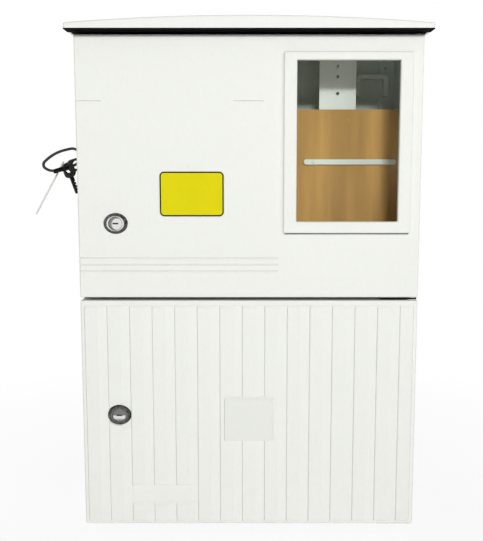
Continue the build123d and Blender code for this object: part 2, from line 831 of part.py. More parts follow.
def door_bushes(label, bottom, top):
    """Flanged bushes for the pivot pins, pressed into the bottom and top edges of a door."""
    with BuildPart() as bushes:
        for edge, outward in ((bottom, -1), (top, 1)):
            with BuildSketch(Plane.XY.offset(edge)) as flange:
                with Locations((pivot_x, pivot_y)):
                    Circle(bush_flange_radius)
                    Circle(pin_hole_radius, mode=Mode.SUBTRACT)
            extrude(flange.sketch, amount=outward * bush_flange)
            with BuildSketch(Plane.XY.offset(edge)) as sleeve:
                with Locations((pivot_x, pivot_y)):
                    Circle(bush_radius)
                    Circle(pin_hole_radius, mode=Mode.SUBTRACT)
            extrude(sleeve.sketch, amount=-outward * pivot_boss)
    save(bushes, label)


# Upper door: fine grooves, and a cut-out for the window frame's collar
window_hole_width = daylight_width + 2 * (window_collar + part_clearance)
window_hole_height = daylight_height + 2 * (window_collar + part_clearance)
groove_y = (door_front, door_front + groove_depth)
low_groove_x = (-half_width, window_left - groove_window_gap)
high_groove_z = upper_top - high_groove_drop

with BuildPart() as upper_door:
    door_tray(upper_door, upper_bottom, upper_top, upper_opening, upper_lock_z)
    for height in groove_heights:
        groove_z = (upper_bottom + height - groove_width / 2, upper_bottom + height + groove_width / 2)
        block(low_groove_x, groove_y, groove_z, Mode.SUBTRACT)
    for start, end in (high_groove_left, high_groove_right):
        groove_x = (-half_width + start, -half_width + end)
        groove_z = (high_groove_z - groove_width / 2, high_groove_z + groove_width / 2)
        block(groove_x, groove_y, groove_z, Mode.SUBTRACT)
    with Locations((window_x, door_front, daylight_z)):
        Box(window_hole_width, 4 * door_wall, window_hole_height, mode=Mode.SUBTRACT)
save(upper_door, "upper_door")
door_seal("upper_door_gasket", upper_opening)
door_bushes("upper_door_bushes", upper_bottom, upper_top)

# Window: a raised frame in front, a pane behind the door on a thin seal, held by four clips
window_plane = Plane(origin=(window_x, door_front, daylight_z), x_dir=(1, 0, 0), z_dir=(0, -1, 0))
pane_width = daylight_width + 2 * pane_side_lap
pane_height = daylight_height + 2 * pane_end_lap
pane_front = -door_wall - window_seal_thickness
pane_back = pane_front - pane_thickness
clip_length = 16.0
clip_foot = 6.0
clip_show = 4.0
clip_thickness = 2.0
clip_gap = 0.5

with BuildPart() as window_frame:
    with BuildSketch(window_plane) as frame_face:
        with Locations((0, window_z - daylight_z)):
            RectangleRounded(window_width, window_height, window_radius)
    extrude(amount=window_rise)
    with BuildSketch(window_plane) as collar:
        Rectangle(daylight_width + 2 * window_collar, daylight_height + 2 * window_collar)
    extrude(amount=-door_wall)
    with BuildSketch(window_plane) as daylight:
        Rectangle(daylight_width, daylight_height)
    extrude(amount=2 * window_rise, both=True, mode=Mode.SUBTRACT)
    front_edges = window_frame.faces().sort_by(Axis.Y)[0].edges()
    chamfer(front_edges, window_radius / 2)
save(window_frame, "window_frame")

with BuildPart() as window_gasket:
    with BuildSketch(window_plane.offset(-door_wall)) as seal_ring:
        Rectangle(pane_width, pane_height)
        Rectangle(daylight_width, daylight_height, mode=Mode.SUBTRACT)
    extrude(amount=-window_seal_thickness)
save(window_gasket, "window_gasket")

with BuildPart() as window_pane:
    with BuildSketch(window_plane.offset(pane_front)) as pane_face:
        Rectangle(pane_width, pane_height)
    extrude(amount=-pane_thickness)
save(window_pane, "window_pane")

clip_sides = (
    (pane_width / 2, pane_side_lap, (1, 0, 0)),
    (pane_height / 2, pane_end_lap, (0, 0, 1)),
    (pane_width / 2, pane_side_lap, (-1, 0, 0)),
    (pane_height / 2, pane_end_lap, (0, 0, -1)),
)

with BuildPart() as window_clips:
    for edge, lap, outward in clip_sides:
        clip_plane = Plane(origin=window_plane.origin, x_dir=outward, z_dir=window_plane.z_dir)
        with BuildSketch(clip_plane.offset(-door_wall)) as foot:
            with Locations((edge + clip_gap + clip_foot / 2, 0)):
                Rectangle(clip_foot, clip_length)
        extrude(foot.sketch, amount=pane_back - clip_thickness + door_wall)
        with BuildSketch(clip_plane.offset(pane_back)) as tab:
            tab_reach = lap + clip_show + clip_gap + clip_foot
            with Locations((edge + clip_gap + clip_foot - tab_reach / 2, 0)):
                Rectangle(tab_reach, clip_length)
        extrude(tab.sketch, amount=-clip_thickness)
save(window_clips, "window_clips")

# Lower door: tall raised ribs, a plain pad in the middle and a gap in three ribs
rib_pitch = (body_width - 2 * rib_margin - rib_width) / (rib_count - 1)
rib_levels = (lower_bottom + rib_bottom_margin, lower_top - rib_top_margin)
band_levels = (lower_bottom + band_bottom, lower_bottom + band_bottom + band_height)
pad_z = lower_bottom + pad_bottom + pad_height / 2


def rib(x, low, high):
    """One raised rib with sloping sides on the lower door's front."""
    with BuildSketch(Plane.XZ.offset(-door_front)) as foot:
        with Locations((x, (low + high) / 2)):
            Rectangle(rib_width, high - low)
    extrude(foot.sketch, amount=rib_height, taper=rib_taper)


with BuildPart() as lower_door:
    door_tray(lower_door, lower_bottom, lower_top, lower_opening, lower_lock_z)
    for index in range(rib_count):
        rib_x = -half_width + rib_margin + rib_width / 2 + rib_pitch * index
        if index in band_ribs:
            rib(rib_x, rib_levels[0], band_levels[0])
            rib(rib_x, band_levels[1], rib_levels[1])
        else:
            rib(rib_x, *rib_levels)
    with BuildSketch(Plane.XZ.offset(-door_front)) as pad:
        with Locations((0, pad_z)):
            RectangleRounded(pad_width, pad_height, pad_radius)
    extrude(amount=pad_thickness, taper=rib_taper)
    with BuildSketch(Plane.XZ.offset(-door_front)) as lock_seat:
        with Locations((lock_x, lower_lock_z)):
            Ellipse(lock_width / 2 + lock_seat_clearance, lock_height / 2 + lock_seat_clearance)
    extrude(amount=2 * rib_height, mode=Mode.SUBTRACT)
save(lower_door, "lower_door")
door_seal("lower_door_gasket", lower_opening)
door_bushes("lower_door_bushes", lower_bottom, lower_top)

# Locks: an oval bezel with a barrel through the door, clamped by a nut, and a core that turns the cam
cam_front = -(door_depth + door_case_gap + wall + cam_clearance)
cam_back = cam_front - cam_thickness
cam_length = lock_inset - side_flange + cam_overlap
barrel_end = cam_front + cam_clearance
plug_floor = lock_rise - plug_recess
plug_clearance = 0.3
core_bore_radius = core_radius + running_clearance
cam_screw_reach = 10.0
cam_screw_head_radius = 1.5 * bolt_head_radius
cam_tip_radius = 5.0


def tube(plane, low, high, outer, inner=0.0, mode=Mode.ADD):
    """A round piece along a plane's normal between two heights, in the current part."""
    with BuildSketch(plane.offset(low)) as ring:
        Circle(outer)
        if inner:
            Circle(inner, mode=Mode.SUBTRACT)
    extrude(ring.sketch, amount=high - low, mode=mode)


def quarter_turn_lock(name, lock_z):
    """The pieces of one lock, on the front face of its door."""
    face = Plane(origin=(lock_x, door_front, lock_z), x_dir=(1, 0, 0), z_dir=(0, -1, 0))

    with BuildPart() as lock_body:
        with BuildSketch(face) as bezel_foot:
            Ellipse(lock_width / 2, lock_height / 2)
        with BuildSketch(face.offset(lock_rise)) as bezel_top:
            Ellipse(lock_width / 2 - lock_bezel, lock_height / 2 - lock_bezel)
        loft()
        tube(face, barrel_end, 0, barrel_radius)
        tube(face, plug_floor, lock_rise, plug_radius + plug_clearance, mode=Mode.SUBTRACT)
        tube(face, barrel_end, lock_rise, core_bore_radius, mode=Mode.SUBTRACT)
    save(lock_body, f"{name}_lock_body")

    with BuildPart() as lock_nut:
        with BuildSketch(face.offset(-door_wall)) as hexagon:
            RegularPolygon(nut_width / 2, 6, major_radius=False)
            Circle(barrel_hole_radius, mode=Mode.SUBTRACT)
        extrude(amount=-nut_height)
    save(lock_nut, f"{name}_lock_nut")

    with BuildPart() as lock_core:
        tube(face, plug_floor + plug_clearance, lock_rise - plug_sink, plug_radius)
        tube(face, cam_front, plug_floor + plug_clearance, core_radius)
        tube(face, cam_back, cam_front, cam_stud_radius)
        tube(face, cam_back, cam_back + cam_screw_reach, screw_hole_radius, mode=Mode.SUBTRACT)
        with BuildSketch(face.offset(lock_rise)) as key_slot:
            Rectangle(key_slot_length, key_slot_width)
        extrude(amount=-key_slot_depth, mode=Mode.SUBTRACT)
    save(lock_core, f"{name}_lock_core")

    with BuildPart() as lock_cam:
        with BuildSketch(face.offset(cam_front)) as arm:
            with Locations((0, -cam_length / 2)):
                Rectangle(cam_width, cam_length)
            fillet(arm.vertices().group_by(Axis.Y)[0], cam_tip_radius)
            Circle(cam_width / 2)
            Circle(cam_stud_radius + part_clearance, mode=Mode.SUBTRACT)
        extrude(amount=-cam_thickness)
    save(lock_cam, f"{name}_lock_cam")

    with BuildPart() as cam_screw:
        tube(face, cam_back - bolt_head_height, cam_back, cam_screw_head_radius)
        tube(face, cam_back, cam_back + cam_screw_reach - part_clearance, screw_radius)
    save(cam_screw, f"{name}_cam_screw")


quarter_turn_lock("upper", upper_lock_z)
quarter_turn_lock("lower", lower_lock_z)

# Key loop: a loose plastic loop round one slat of the left vent, with a thin free end that points down
tie_offset = 55.0
tie_y = vent_y - tie_offset
tie_width = 3.0
tie_thickness = 4.0
tie_slat = slat_bottoms[2]
tie_gap = (slat_pitch - slat_height) / 2
tie_bend = 5.0
tie_past_slat = 4.0
tie_inside_reach = 14.0
tie_inside_drop = 1.0
slat_run = vent_collar_depth - slat_inset
slat_slope = slat_rise / slat_run
tie_seat = tie_thickness * (1 + slat_slope**2) ** 0.5 + running_clearance
seat_x = -vent_outer + slat_inset
seat_z = tie_slat + slat_height + tie_seat
inside_x = -vent_inner + tie_inside_reach
inner_seat_z = seat_z + (slat_run + tie_past_slat) * slat_slope
return_z = tie_slat + slat_rise - tie_gap
loop_outs = (18.0, 54.0, 84.0, 64.0, 34.0)
loop_rises = (11.0, 3.0, -23.0, -35.0, -33.0)
loop_bends = (20.0, 80.0, 10.0, 26.0, 36.0)
loop_points = [(seat_x - out, seat_z + rise) for out, rise in zip(loop_outs, loop_rises)]
loop_low_point = loop_points[-1]
return_point = (-vent_inner, return_z)
inside_points = (
    (inside_x, return_z + tie_bend),
    (inside_x, inner_seat_z - tie_inside_drop),
    (-vent_inner + tie_past_slat, inner_seat_z),
)
tie_points = [(seat_x, seat_z), *loop_points, return_point, *inside_points]
tie_bends = [tie_bend, *loop_bends, tie_bend, *[tie_bend for _ in inside_points]]
tail_out = 38.0
tail_drop = 16.0
tail_start = (seat_x - tail_out, seat_z - tail_drop)
tail_length = 110.0
tail_angle = 61.0
tail_thickness = 2.4

with BuildPart() as key_tie:
    with BuildSketch(Plane.XZ.offset(-tie_y)) as tie_loop:
        with BuildLine():
            FilletPolyline(*tie_points, radius=tie_bends, close=True)
        make_face()
        offset(amount=-tie_thickness, mode=Mode.SUBTRACT)
    extrude(amount=tie_width / 2, both=True)
    with BuildSketch(Plane.XZ.offset(-tie_y)) as tail:
        with Locations(Location(tail_start, 180 + tail_angle)):
            Rectangle(tail_length, tail_thickness, align=(Align.MIN, Align.CENTER))
    extrude(amount=tail_thickness / 2, both=True)
save(key_tie, "key_tie")

# Keys: two like keys on the loop, each with a moulded bow and a flat blade, leaning in its own plane
key_places = (0.1, 0.4)
key_leans = (22.0, -75.0)
key_yaw = radians(45.0)
key_drop = 0.5
key_hole_radius = 7.5
bow_width = 23.0
bow_height = 28.0
bow_thickness = 4.0
bow_radius = 8.0
bow_rim = 4.0
bow_middle = key_hole_radius + bow_rim - bow_height / 2
blade_width = 8.0
blade_length = 32.0
blade_thickness = 2.4
blade_top = bow_middle - bow_height / 2
notch_drops = (10.0, 16.0, 22.0)
notch_width = 2.4
notch_depth = 2.0
strand_run = return_point[0] - loop_low_point[0]
strand_climb = return_point[1] - loop_low_point[1]
strand_middle = tie_thickness / 2 * (1 + (strand_climb / strand_run) ** 2) ** 0.5

key_planes = []
for place, lean in zip(key_places, key_leans):
    key_x = loop_low_point[0] + place * strand_run
    key_z = loop_low_point[1] + place * strand_climb + strand_middle - key_drop
    level = cos(radians(lean))
    key_planes.append(
        Plane(
            origin=(key_x, tie_y, key_z),
            x_dir=(level * sin(key_yaw), level * cos(key_yaw), sin(radians(lean))),
            z_dir=(cos(key_yaw), -sin(key_yaw), 0),
        )
    )

with BuildPart() as key_bows:
    for key_plane in key_planes:
        with BuildSketch(key_plane) as bow:
            with Locations((0, bow_middle)):
                RectangleRounded(bow_width, bow_height, bow_radius)
            Circle(key_hole_radius, mode=Mode.SUBTRACT)
        extrude(bow.sketch, amount=bow_thickness / 2, both=True)
save(key_bows, "key_bows")

with BuildPart() as key_blades:
    for key_plane in key_planes:
        with BuildSketch(key_plane) as blade:
            with Locations((0, blade_top - blade_length / 2)):
                Rectangle(blade_width, blade_length)
            fillet(blade.vertices().group_by(Axis.Y)[0], blade_width / 4)
            with Locations(*[(blade_width / 2, blade_top - drop) for drop in notch_drops]):
                Rectangle(2 * notch_depth, notch_width, mode=Mode.SUBTRACT)
        extrude(blade.sketch, amount=blade_thickness / 2, both=True)
save(key_blades, "key_blades")
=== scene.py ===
"""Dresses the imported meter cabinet: a finish for every piece, added trim, a stage and a camera."""

import math

import bmesh
import bpy
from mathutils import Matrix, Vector


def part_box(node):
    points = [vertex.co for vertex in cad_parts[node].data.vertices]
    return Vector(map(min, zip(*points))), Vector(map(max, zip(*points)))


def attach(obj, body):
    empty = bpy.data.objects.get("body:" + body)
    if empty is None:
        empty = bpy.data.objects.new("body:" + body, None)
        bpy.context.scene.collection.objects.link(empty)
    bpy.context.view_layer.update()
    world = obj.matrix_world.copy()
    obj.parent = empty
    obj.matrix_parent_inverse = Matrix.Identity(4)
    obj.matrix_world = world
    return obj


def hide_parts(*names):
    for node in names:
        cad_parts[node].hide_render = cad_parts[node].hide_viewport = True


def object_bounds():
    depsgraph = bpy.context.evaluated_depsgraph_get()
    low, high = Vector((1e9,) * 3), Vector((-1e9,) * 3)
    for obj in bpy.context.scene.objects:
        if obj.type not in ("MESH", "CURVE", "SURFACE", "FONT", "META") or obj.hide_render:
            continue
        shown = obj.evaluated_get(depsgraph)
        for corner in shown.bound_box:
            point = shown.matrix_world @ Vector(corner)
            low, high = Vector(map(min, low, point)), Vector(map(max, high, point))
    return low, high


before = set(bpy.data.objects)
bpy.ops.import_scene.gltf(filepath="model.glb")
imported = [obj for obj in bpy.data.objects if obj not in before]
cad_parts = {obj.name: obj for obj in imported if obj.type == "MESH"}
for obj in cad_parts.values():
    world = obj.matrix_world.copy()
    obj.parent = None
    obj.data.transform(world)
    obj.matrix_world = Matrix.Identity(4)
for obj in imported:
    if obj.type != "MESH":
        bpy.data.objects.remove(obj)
CAD_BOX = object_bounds()

bl_info = {
    "name": "Fibreglass Meter Cabinet",
    "version": (1, 0, 0),
    "blender": (4, 5, 0),
    "location": "View3D > Sidebar > Cabinet",
    "description": "Finishes, added trim and a studio for a moulded meter cabinet",
    "category": "Object",
}

IMAGE_LONG_SIDE = 541

# Colours of the finishes that have no setting
WHITE = (1.0, 1.0, 1.0)
INK = (0.012, 0.012, 0.012)
# The grey of dirt near the foot, also used for painted shade in corners
GRIME_AND_SHADE = (0.42, 0.41, 0.36)
RUBBER = (0.012, 0.012, 0.013)
FOAM = (0.0015, 0.0015, 0.0015)
# Dark grey of the bead that stands in for the window frame's shadow, a painted shadow
SHADOW_BEAD_GREY = (0.12, 0.13, 0.12)
GALVANISED = (0.6, 0.61, 0.62)
ZINC = (0.62, 0.63, 0.64)
STEEL = (0.5, 0.5, 0.5)
BRASS = (0.62, 0.43, 0.16)
BLACKENED = (0.018, 0.018, 0.018)
WHITE_PAINT = (0.93, 0.93, 0.9)
NATURAL_NYLON = (0.7, 0.69, 0.64)
RED_INSULATOR = (0.32, 0.02, 0.015)
BLACK_NYLON = (0.012, 0.012, 0.013)
BARE_NYLON = (0.72, 0.73, 0.69)
KEY_BOW = (0.018, 0.018, 0.017)
KEY_STEEL = (0.035, 0.035, 0.032)
PANE_TINT = (0.955, 0.98, 0.965)
PANE_GLOSS = (0.9, 0.95, 0.93)
FLOOR = (0.86, 0.86, 0.85)

# Places that the finishes and the trim are measured from
UPPER_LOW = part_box("upper_door")[0]
LOWER_LOW, LOWER_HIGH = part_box("lower_door")
TIE_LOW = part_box("key_tie")[0]
FRAME_LOW, FRAME_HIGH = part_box("window_frame")
CASE_LOW, CASE_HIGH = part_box("top_panel")
DOOR_FRONT = UPPER_LOW.y

# How far the finishes reach: into the case's walls, up from the foot, into corners for dust and painted
# shade, into the key slot for painted shade, and over edges
PANEL_SKIN = 0.004
MASK_FADE = 0.0005
GAP_LAP = 0.0003
SPLASH_HEIGHT = 0.22
DUST_AND_SHADE_CORNER = 0.006
SHADED_CORNER = 0.003
KEY_SLOT = 0.0035
SHELL_EDGE = 0.0009
DOOR_EDGE = 0.0014
METAL_EDGE = 0.0005
SHEET_EDGE = 0.0006
PLASTIC_EDGE = 0.0004
BOARD_EDGE = 0.0008

# How dirty the finishes are, how much darker some pieces are than the colour they share, and how dark the
# painted shade in the door gap and the painted reflection on the lower lock are
CASE_GRIME = 0.1
DOOR_GRIME = 0.03
PAINT_GRIME = 0.05
PAINTED_GAP_SHADE = 0.6
PAD_SHADE = 0.955
CAP_SHADE = 0.8
# The lower lock's chrome is painted darker, for the dark reflection it shows
LOWER_LOCK_DARK_REFLECTION = 0.22

# Ribs of the lower door, which the flutes keep in step with
RIB_COUNT = 15
RIB_WIDTH = 0.025
RIB_HEIGHT = 0.0025
RIB_SIDE_MARGIN = 0.0068
RIB_BOTTOM_MARGIN = 0.006
RIB_TOP_MARGIN = 0.012
RIB_INSET = RIB_HEIGHT * math.tan(math.radians(25.0))
BAND_RIBS = (2, 3, 4)
BAND_BOTTOM = 0.0385
BAND_HEIGHT = 0.0355
FLUTE_SKIN = 0.0001
FLUTE_ROOT = 0.0005
FLUTE_LAP = 0.002
PAD_WIDTH = 0.09
PAD_HEIGHT = 0.081
PAD_BOTTOM = 0.158

# The tie's thin free end: its slope, how far up it is bare, and its half width with a soft edge
TAIL_ANGLE = math.radians(61.0)
TAIL_RISE = 0.098
TAIL_BLEND = 0.001
TAIL_HALF_WIDTH = 0.0025
TAIL_FADE = 0.0003

# How the key loop is made from its solid: what counts as one corner, as flat and as a sharp edge
WELD_REACH = 1e-6
FLAT_ANGLE = math.radians(1.0)
SHARP_ANGLE = math.radians(50.0)
LOOP_ROUNDING = 1.5

# How far the yellow field stands out from the rim, as a share of the plate's thickness
FIELD_SHARE = 1.0 / 3.0

# Lamps: where each stands, and its width and height
FRONT_LAMP = ((0.25, -4.6, 1.83), (0.6, 0.3))
SIDE_LAMP = ((2.6, -4.2, 1.8), (1.6, 1.0))
BACK_LAMP = ((-3.0, 2.6, 1.6), (1.6, 1.0))

# The floor glows fully from the far reach on, and a little less within the near one
SHADOW_NEAR = 0.4
SHADOW_FAR = 1.2
SHADOW_GLOW = 0.9

# CAD pieces that share a finish
SHELL_PIECES = (
    "base_panel", "left_side_panel", "right_side_panel", "back_panel", "top_panel", "partition_panel",
    "canopy", "window_frame", "left_vent_grille", "right_vent_grille",
)
DOOR_PIECES = ("upper_door", "lower_door")
SEAL_PIECES = ("upper_door_gasket", "lower_door_gasket", "window_gasket", "cable_grommets")
DARK_BRACKETS = ("top_pivot_bracket", "middle_pivot_bracket")
WHITE_METAL = ("hanger_plate", "cross_rail", "rail_screws", "cable_saddle", "bottom_pivot_bracket")
SHEET_PIECES = ("gear_plate", "din_rail")
SCREW_PIECES = (
    "bracket_screws", "canopy_bolts", "back_panel_screws", "gear_plate_screws", "din_rail_screws",
    "earth_bar_screws", "upper_cam_screw", "lower_cam_screw",
)
CAPPED_SCREWS = ("board_screws", "hanger_screws")
STEEL_PIECES = (
    "pivot_pins", "board_standoffs", "gear_standoffs", "upper_lock_nut", "lower_lock_nut", "upper_lock_cam",
    "lower_lock_cam",
)
NYLON_PIECES = ("upper_door_bushes", "lower_door_bushes")


class Wire:
    """A shader socket that can stand in Python sums; each sum adds a Math node."""

    def __init__(self, recipe, socket):
        self.recipe = recipe
        self.socket = socket

    def sum_with(self, operation, first, second):
        """The result of a Math node on two values or sockets."""
        return self.recipe.node("ShaderNodeMath", {"operation": operation}, {0: first, 1: second})

    def __add__(self, other):
        return self.sum_with("ADD", self, other)

    def __radd__(self, other):
        return self.sum_with("ADD", other, self)

    def __sub__(self, other):
        return self.sum_with("SUBTRACT", self, other)

    def __rsub__(self, other):
        return self.sum_with("SUBTRACT", other, self)

    def __mul__(self, other):
        return self.sum_with("MULTIPLY", self, other)

    def __rmul__(self, other):
        return self.sum_with("MULTIPLY", other, self)

    def most(self, other):
        """The larger of two values."""
        return self.sum_with("MAXIMUM", self, other)


class Recipe:
    """A node tree in the making, of a material or of the world."""

    def __init__(self, owner):
        owner.use_nodes = True
        self.owner = owner
        self.tree = owner.node_tree
        self.tree.nodes.clear()

    def feed(self, socket, value):
        """Link a wire to a socket, or set the socket's own value."""
        if isinstance(value, Wire):
            self.tree.links.new(value.socket, socket)
        elif socket.type == "RGBA" and len(value) == 3:
            socket.default_value = (*value, 1.0)
        else:
            socket.default_value = value

    def node(self, kind, settings=None, inputs=None, output=0):
        """Add a node: its settings first, then the values or links of its sockets."""
        made = self.tree.nodes.new(kind)
        for key, value in (settings or {}).items():
            if key == "stops":
                self.set_stops(made.color_ramp, value)
            else:
                setattr(made, key, value)
        for key, value in (inputs or {}).items():
            self.feed(made.inputs[key], value)
        return Wire(self, made.outputs[output]) if made.outputs else None

    def set_stops(self, ramp, stops):
        """Give a colour ramp its stops, each a place and a grey level."""
        while len(ramp.elements) < len(stops):
            ramp.elements.new(1.0)
        for element, (place, level) in zip(ramp.elements, stops):
            element.position = place
            element.color = (level, level, level, 1.0)

    def seen_directly(self):
        """One for rays from the camera, off a mirror or through a clear sheet, and zero for other light."""
        rays = [
            self.node("ShaderNodeLightPath", output=name)
            for name in ("Is Camera Ray", "Is Glossy Ray", "Is Transmission Ray")
        ]
        return rays[0].most(rays[1]).most(rays[2])

    def show(self, shader, kind="ShaderNodeOutputMaterial"):
        """Link a shader to the tree's output and give back what the tree belongs to."""
        self.node(kind, {}, {"Surface": shader})
        return self.owner


class Finish(Recipe):
    """A material in the making, with the textures that the cabinet's finishes share."""

    def __init__(self, name):
        super().__init__(bpy.data.materials.new(name))
        self.place = self.node("ShaderNodeTexCoord", output="Object")

    def stretched(self, stretch):
        """The object's own space, scaled along its axes."""
        return self.node("ShaderNodeVectorMath", {"operation": "MULTIPLY"}, {0: self.place, 1: stretch})

    def noise(self, scale, detail=3.0, roughness=0.5, stretch=None):
        """Soft noise in metres of the object's own space, with its middle near one half."""
        place = self.stretched(stretch) if stretch else self.place
        inputs = {"Vector": place, "Scale": scale, "Detail": detail, "Roughness": roughness}
        return self.node("ShaderNodeTexNoise", {}, inputs, "Fac")

    def cells(self, scale):
        """A grey level for each cell of a crystal pattern."""
        inputs = {"Vector": self.place, "Scale": scale}
        colour = self.node("ShaderNodeTexVoronoi", {}, inputs, "Color")
        return self.node("ShaderNodeSeparateColor", {}, {"Color": colour}, "Red")

    def steps(self, value, *stops):
        """A value passed through a ramp of grey levels."""
        return self.node("ShaderNodeValToRGB", {"stops": stops}, {"Fac": value}, "Color")

    def span(self, value, low, high, first=0.0, last=1.0):
        """A value carried from one range to another and kept inside it."""
        inputs = {"Value": value, "From Min": low, "From Max": high, "To Min": first, "To Max": last}
        return self.node("ShaderNodeMapRange", {"clamp": True}, inputs)

    def mix(self, factor, first, second):
        """A colour between two colours."""
        return self.node("ShaderNodeMix", {"data_type": "RGBA"}, {0: factor, 6: first, 7: second}, 2)

    def axis(self, name):
        """One coordinate of the object's own space."""
        return self.node("ShaderNodeSeparateXYZ", {}, {"Vector": self.place}, name)

    def crevice(self, reach, samples=6):
        """Near one in corners and gaps narrower than a reach, and zero in the open."""
        openness = self.node("ShaderNodeAmbientOcclusion", {"samples": samples}, {"Distance": reach}, "AO")
        return 1.0 - openness

    def soft_normal(self, radius):
        """The surface's normal with its sharp edges rounded."""
        return self.node("ShaderNodeBevel", {"samples": 4}, {"Radius": radius}, "Normal")

    def edge(self, soft):
        """Near one along sharp edges and zero on flats, from a rounded normal."""
        true = self.node("ShaderNodeNewGeometry", output="Normal")
        level = self.node("ShaderNodeVectorMath", {"operation": "DOT_PRODUCT"}, {0: soft, 1: true}, "Value")
        return self.steps(level, (0.78, 1.0), (0.985, 0.0))

    def bump(self, height, strength, distance, normal=None):
        """A Bump node's normal, over another normal where one is given."""
        inputs = {"Height": height, "Strength": strength, "Distance": distance}
        if normal is not None:
            inputs["Normal"] = normal
        return self.node("ShaderNodeBump", {}, inputs, "Normal")

    def ring(self, centre, half_width, half_height):
        """Zero at a centre, one on an upright oval round it and more outside, as a square."""
        across = (self.axis("X") - centre.x) * (1.0 / half_width)
        along = (self.axis("Z") - centre.z) * (1.0 / half_height)
        return across * across + along * along

    def inside(self):
        """One on the inner faces of the case's panels and zero on the outer ones."""
        half_width = CASE_HIGH.x - PANEL_SKIN
        half_depth = CASE_HIGH.y - PANEL_SKIN
        across, along = self.axis("X"), self.axis("Y")
        sides = self.span(across * across, (half_width - MASK_FADE) ** 2, half_width**2, 1.0, 0.0)
        faces = self.span(along * along, (half_depth - MASK_FADE) ** 2, half_depth**2, 1.0, 0.0)
        top = CASE_HIGH.z - PANEL_SKIN
        return sides * faces * self.span(self.axis("Z"), top - MASK_FADE, top, 1.0, 0.0)

    def painted_gap_shade_mask(self):
        """One on the faces round the gap between the doors, where the gap's shade is painted, and zero
        elsewhere.
        """
        half = (UPPER_LOW.z - LOWER_HIGH.z) / 2
        off = self.axis("Z") - (LOWER_HIGH.z + half)
        reach = half + GAP_LAP
        level = self.span(off * off, reach**2, (reach + MASK_FADE) ** 2, 1.0, 0.0)
        behind = CASE_LOW.y + MASK_FADE
        return level * self.span(self.axis("Y"), behind, behind + MASK_FADE, 1.0, 0.0)

    def paint(self, **sockets):
        """End with one Principled shader; its sockets are named with underscores for spaces."""
        inputs = {key.replace("_", " "): value for key, value in sockets.items()}
        return self.show(self.node("ShaderNodeBsdfPrincipled", {}, inputs, "BSDF"))


def shade(colour, factor):
    """A colour made darker or lighter by a factor."""
    return tuple(channel * factor for channel in colour)


def shell_finish(name, colour, grime, lining=None, rounding=SHELL_EDGE):
    """Moulded fibreglass: cloudy and flecked, with dull edges, corners darkened by dust and by painted
    shade, and painted shade in the door gap.
    """
    finish = Finish(name)
    cloud = finish.noise(5.0, 4.0)
    fibre = finish.noise(260.0, 2.0, 0.6, (1.0, 1.0, 0.4))
    fleck = finish.steps(fibre, (0.48, 0.0), (0.66, 1.0))
    foot = LOWER_LOW.z
    height = finish.span(finish.axis("Z"), foot, foot + SPLASH_HEIGHT, 1.0, 0.0)
    dust = finish.steps(finish.noise(38.0, 6.0, 0.65), (0.45, 0.0), (0.75, 1.0))
    corner = finish.crevice(DUST_AND_SHADE_CORNER)
    soft = finish.soft_normal(rounding)
    worn = finish.edge(soft)
    outer = finish.mix(cloud, shade(colour, 0.982), shade(colour, 1.014))
    if lining:
        outer = finish.mix(finish.inside(), outer, finish.mix(fibre, lining, shade(lining, 0.85)))
    flecked = finish.mix(fleck * 0.3, outer, shade(colour, 0.955))
    dulled = finish.mix(worn * (0.05 + 0.25 * dust), flecked, shade(colour, 0.86))
    soiled = finish.mix(dust * (0.25 + height) * grime, dulled, GRIME_AND_SHADE)
    # Corners and gaps are darkened towards the grey, partly as dust and partly as painted shade
    corner_dust_and_shade = finish.mix(corner * (0.05 + 0.12 * dust), soiled, GRIME_AND_SHADE)
    peel = finish.noise(420.0, 1.5)
    wave = finish.noise(24.0, 2.0)
    return finish.paint(
        # Painted shade: the faces round the door gap are darkened where the deep gap lies in shade
        Base_Color=finish.mix(finish.painted_gap_shade_mask(), corner_dust_and_shade, shade(colour, PAINTED_GAP_SHADE)),
        Roughness=0.3 + 0.1 * cloud + 0.1 * dust + 0.12 * worn,
        Normal=finish.bump(wave, 0.05, 0.004, finish.bump(peel, 0.08, 0.0005, soft)),
        Specular_IOR_Level=0.4,
        Coat_Weight=0.06,
        Coat_Roughness=0.15,
    )


def rubber_finish(name, colour, gloss):
    """Matt black rubber with a fine grain and a bloom of dust."""
    finish = Finish(name)
    grain = finish.noise(900.0, 2.0)
    bloom = finish.steps(finish.noise(40.0, 4.0), (0.4, 0.0), (0.8, 1.0))
    return finish.paint(
        Base_Color=finish.mix(bloom * 0.5, colour, shade(colour, 2.4)),
        Roughness=0.65 + 0.25 * grain,
        Normal=finish.bump(grain, 0.25, 0.0004),
        Specular_IOR_Level=gloss,
    )


def metal_finish(name, colour, rough, brush, dark=0.7):
    """Plated or bare metal: brushing, a cloudy tone, fine scratches, bright edges and painted shade in
    corners.
    """
    finish = Finish(name)
    line = finish.noise(700.0, 3.0, 0.6, brush)
    cloud = finish.noise(60.0, 4.0)
    soft = finish.soft_normal(METAL_EDGE)
    toned = finish.mix(cloud, shade(colour, dark), colour)
    edged = finish.mix(finish.edge(soft) * 0.5, toned, shade(colour, 1.35))
    return finish.paint(
        # Painted shade: corners and gaps are darkened towards a fifth of the colour
        Base_Color=finish.mix(finish.crevice(SHADED_CORNER) * 0.7, edged, shade(colour, 0.2)),
        Metallic=1.0,
        Roughness=rough * 0.7 + line * rough * 0.6,
        Normal=finish.bump(line, 0.08, 0.0003, soft),
    )


